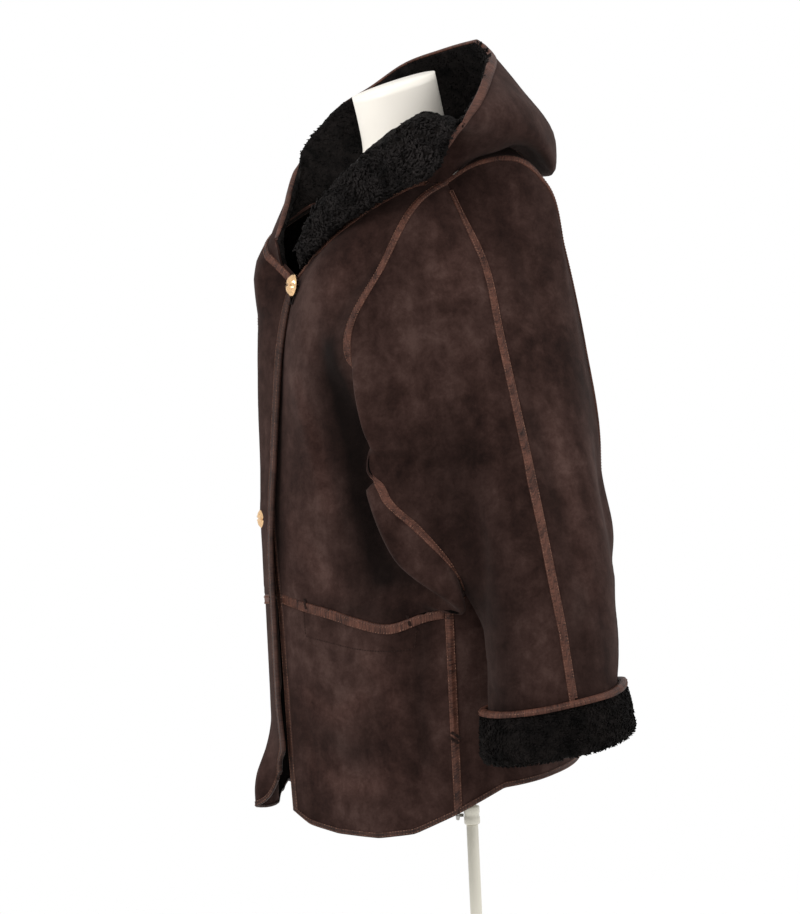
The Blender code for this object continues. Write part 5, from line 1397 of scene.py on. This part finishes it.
SCREW = ((2.2, 10.6), (2.2, 15.6), (5.6, 16.2), (6.4, 17.0), (6.4, 19.4), (5.4, 20.6), (1.0, 21.2))
SCREW_HEIGHT = 600.0
SCREW_WAY = (-0.438, -0.899, 0.0)
SCREW_ASIDE = (0.899, -0.438, 0.0)


def ivory_finish(name, roughness, colour):
    """Satin ivory with a faint cloudy unevenness of tone and surface."""
    made, tree, shader = finish_of(name, Roughness=roughness)
    place = add(tree, "ShaderNodeTexCoord").outputs["Object"]
    tone = ramp(tree, noise(tree, place, 18.0, 4.0), (0.0, [c * 0.93 for c in colour]), (1.0, colour))
    surfaced(tree, shader, tone, noise(tree, place, 900.0, 2.0), 0.1, 0.0003)
    return made


def metal_finish(name, colour, roughness, scale):
    """Polished metal with faint wear: a cloudy change of gloss and fine scratches."""
    made, tree, shader = finish_of(name, Metallic=1.0)
    wear = noise(tree, add(tree, "ShaderNodeTexCoord").outputs["Object"], scale, 5.0, 0.65)
    gloss = add(tree, "ShaderNodeMapRange", wear, To_Min=roughness * 0.75, To_Max=roughness * 1.5)
    tree.links.new(gloss.outputs["Result"], shader.inputs["Roughness"])
    tone = ramp(tree, wear, (0.3, [c * 0.62 for c in colour]), (0.6, colour))
    surfaced(tree, shader, tone, wear, 0.15, 0.0002)
    return made


def round_about(count):
    """Angles of that many places round a circle."""
    return np.linspace(0, 2 * math.pi, count + 1)[:-1]


def solid_of(node, rings, material):
    """A closed body through rings, its ends filled in with rings that shrink to their middle."""
    ends = rings[[0, -1]]
    middle = ends.mean(axis=1, keepdims=True)
    ends = middle + (ends - middle) * 0.02
    rings = np.concatenate([ends[:1], rings, ends[1:]])
    faces, _ = tube_faces(*rings.shape[:2], False)
    faces = np.concatenate([faces, caps(*rings.shape[:2])])
    return worn(object_of(node + "_made", rings.reshape(-1, 3), faces, [material]), node)


def turned(profile, around=48, flutes=0, depth=0.0):
    """Rings of a turned piece about the z axis: radius and height, its rim cut with shallow flutes."""
    a = round_about(around)
    radius, height = (np.array(profile, float)[:, k:k + 1] for k in (0, 1))
    cut = radius * (1.0 - depth * (0.5 - 0.5 * np.cos(flutes * a))[None] * (radius > 5.0))
    return np.stack([cut * np.cos(a), cut * np.sin(a), height * np.ones(around)], axis=-1)


FORM_SKIN = ivory_finish("form_skin", 0.42, (0.84, 0.79, 0.71))
STAND_PAINT = ivory_finish("stand_paint", 0.35, (0.64, 0.61, 0.52))
STEEL = metal_finish("screw_steel", (0.42, 0.41, 0.39), 0.3, 700.0)
a = round_about(96)
z, y, half_x, half_y = (column[:, None] for column in through(FORM_RINGS, 5).T)
px = half_x * np.sign(np.sin(a)) * np.abs(np.sin(a)) ** 0.9
py = -half_y * np.sign(np.cos(a)) * np.abs(np.cos(a)) ** 0.95
tilt = NECK_TILT * py * ((z - NECK_FOOT) / NECK_RISE).clip(0, 1)
solid_of("form", np.stack([px, y + py, z + tilt], axis=-1) * MM, FORM_SKIN)
solid_of("pole_lower", turned(POLE_TOP) * MM, STAND_PAINT)
solid_of("pole_upper", turned(UPPER_POLE) * MM, STAND_PAINT)
solid_of("pole_clamp", turned(COLLAR) * MM, STAND_PAINT)
# the screw's own axes: sideways, upward and along itself
screw = turned(SCREW, 60, 15, 0.10) @ np.array([SCREW_ASIDE, (0, 0, 1), SCREW_WAY])
solid_of("thumb_screw", (screw + (0, 0, SCREW_HEIGHT)) * MM, STEEL)
solid_of("base", turned(BASE_PROFILE, 96) * MM, STAND_PAINT)


# ---- Buttons: pressed gilt domes. Two leaf-shaped halves meet at a deep groove across the middle, each with
# raised bands; the top one stands on a shank with a black cord loop round it, the other is sewn down flat.
BUTTON_RADIUS = 14.3
BUTTON_HEIGHT = 7.4
BAND_HEIGHT = 0.34
GROOVE_DEPTH = 1.9
SHANK = ((2.3, 0.0), (1.9, 0.5))         # radius in mm and share of the way up; its top is inside the dome
SHANK_TOP = 2.0
LOOP_CENTRE = -9.5
LOOP_HALF = (6.5, 13.5)
LOOP_LIFT = 5.4
STRANDS = 3
GILT = metal_finish("gilt", (0.86, 0.56, 0.30), 0.20, 420.0)
CORD = wool_finish("loop_cord", (0.004, 0.003, 0.0028), (0.016, 0.011, 0.010), 500.0)


def button_frame(node):
    """Where a button sits: its middle, its ways across, up and outwards, and the levels of its two faces."""
    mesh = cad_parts[node].data
    place = np.zeros(len(mesh.vertices) * 3)
    mesh.vertices.foreach_get("co", place)
    place = np.unique(place.reshape(-1, 3).round(6), axis=0)
    middle = (place.min(axis=0) + place.max(axis=0)) / 2
    _, _, axes = np.linalg.svd(place - middle)
    face = axes[2] * -np.sign(axes[2][1])
    across = unit(np.cross((0, 0, 1), face))
    along = (place - middle) @ face
    return middle, across, np.cross(face, across), face, along.min(), along.max()


def button(node):
    """One button, its dome and its shank; gives the foot of its shank and its three ways."""
    middle, across, up, face, foot, top = button_frame(node)
    share = np.concatenate([np.linspace(0.02, 1.0, 30), [1.02, 1.0, 0.9, 0.2]])[:, None]
    a = round_about(72)
    x, y = share * np.cos(a), share * np.sin(a)
    dome = (1 - share.clip(0, 1) ** 2.2) ** 0.75
    band = np.cos((np.abs(x) ** 1.6 + ((np.abs(y) - 0.48) / 0.62) ** 2) * 9.0)
    inside = (share < 0.93) * ((1.0 - share) / 0.12).clip(0, 1)
    height = BUTTON_HEIGHT * dome + (BAND_HEIGHT * band - GROOVE_DEPTH * bell(y, 0, 0.085)) * inside
    height[-4:] = np.array([-0.5, -1.3, -1.6, -1.6])[:, None]
    base = top - BUTTON_HEIGHT * MM
    rings = (x[..., None] * across + y[..., None] * up) * BUTTON_RADIUS + height[..., None] * face
    solid_of(node, middle + base * face + rings * MM, GILT)
    levels = [(radius, foot + rise * (base - foot)) for radius, rise in SHANK] + [(SHANK_TOP, base - 0.0012)]
    around = (np.cos(a)[:, None] * across + np.sin(a)[:, None] * up) * MM
    stem = np.array([middle + radius * around + rise * face for radius, rise in levels])
    solid_of(node, stem, GILT)
    return middle + foot * face, across, up, face


place, across, up, face = button("button_top")
button("button_mid")

# the loop's cord is twisted from STRANDS strands that go nine times round it
a, b = round_about(96)[:, None], round_about(10)
half_across, half_up = LOOP_HALF
path = across * (half_across * np.sin(a)) + up * (LOOP_CENTRE + half_up * np.cos(a)) + face * LOOP_LIFT
outward = unit(across * (np.sin(a) * half_up) + up * (np.cos(a) * half_across))
twist = 1.05 + 0.12 * np.cos(STRANDS * (b[None] - 9 * a))
around = outward[:, None] * np.cos(b)[None, :, None] + face * np.sin(b)[None, :, None]
ring_object("loop_top", place + (path[:, None] + around * twist[..., None]) * MM, [CORD], "_cord")
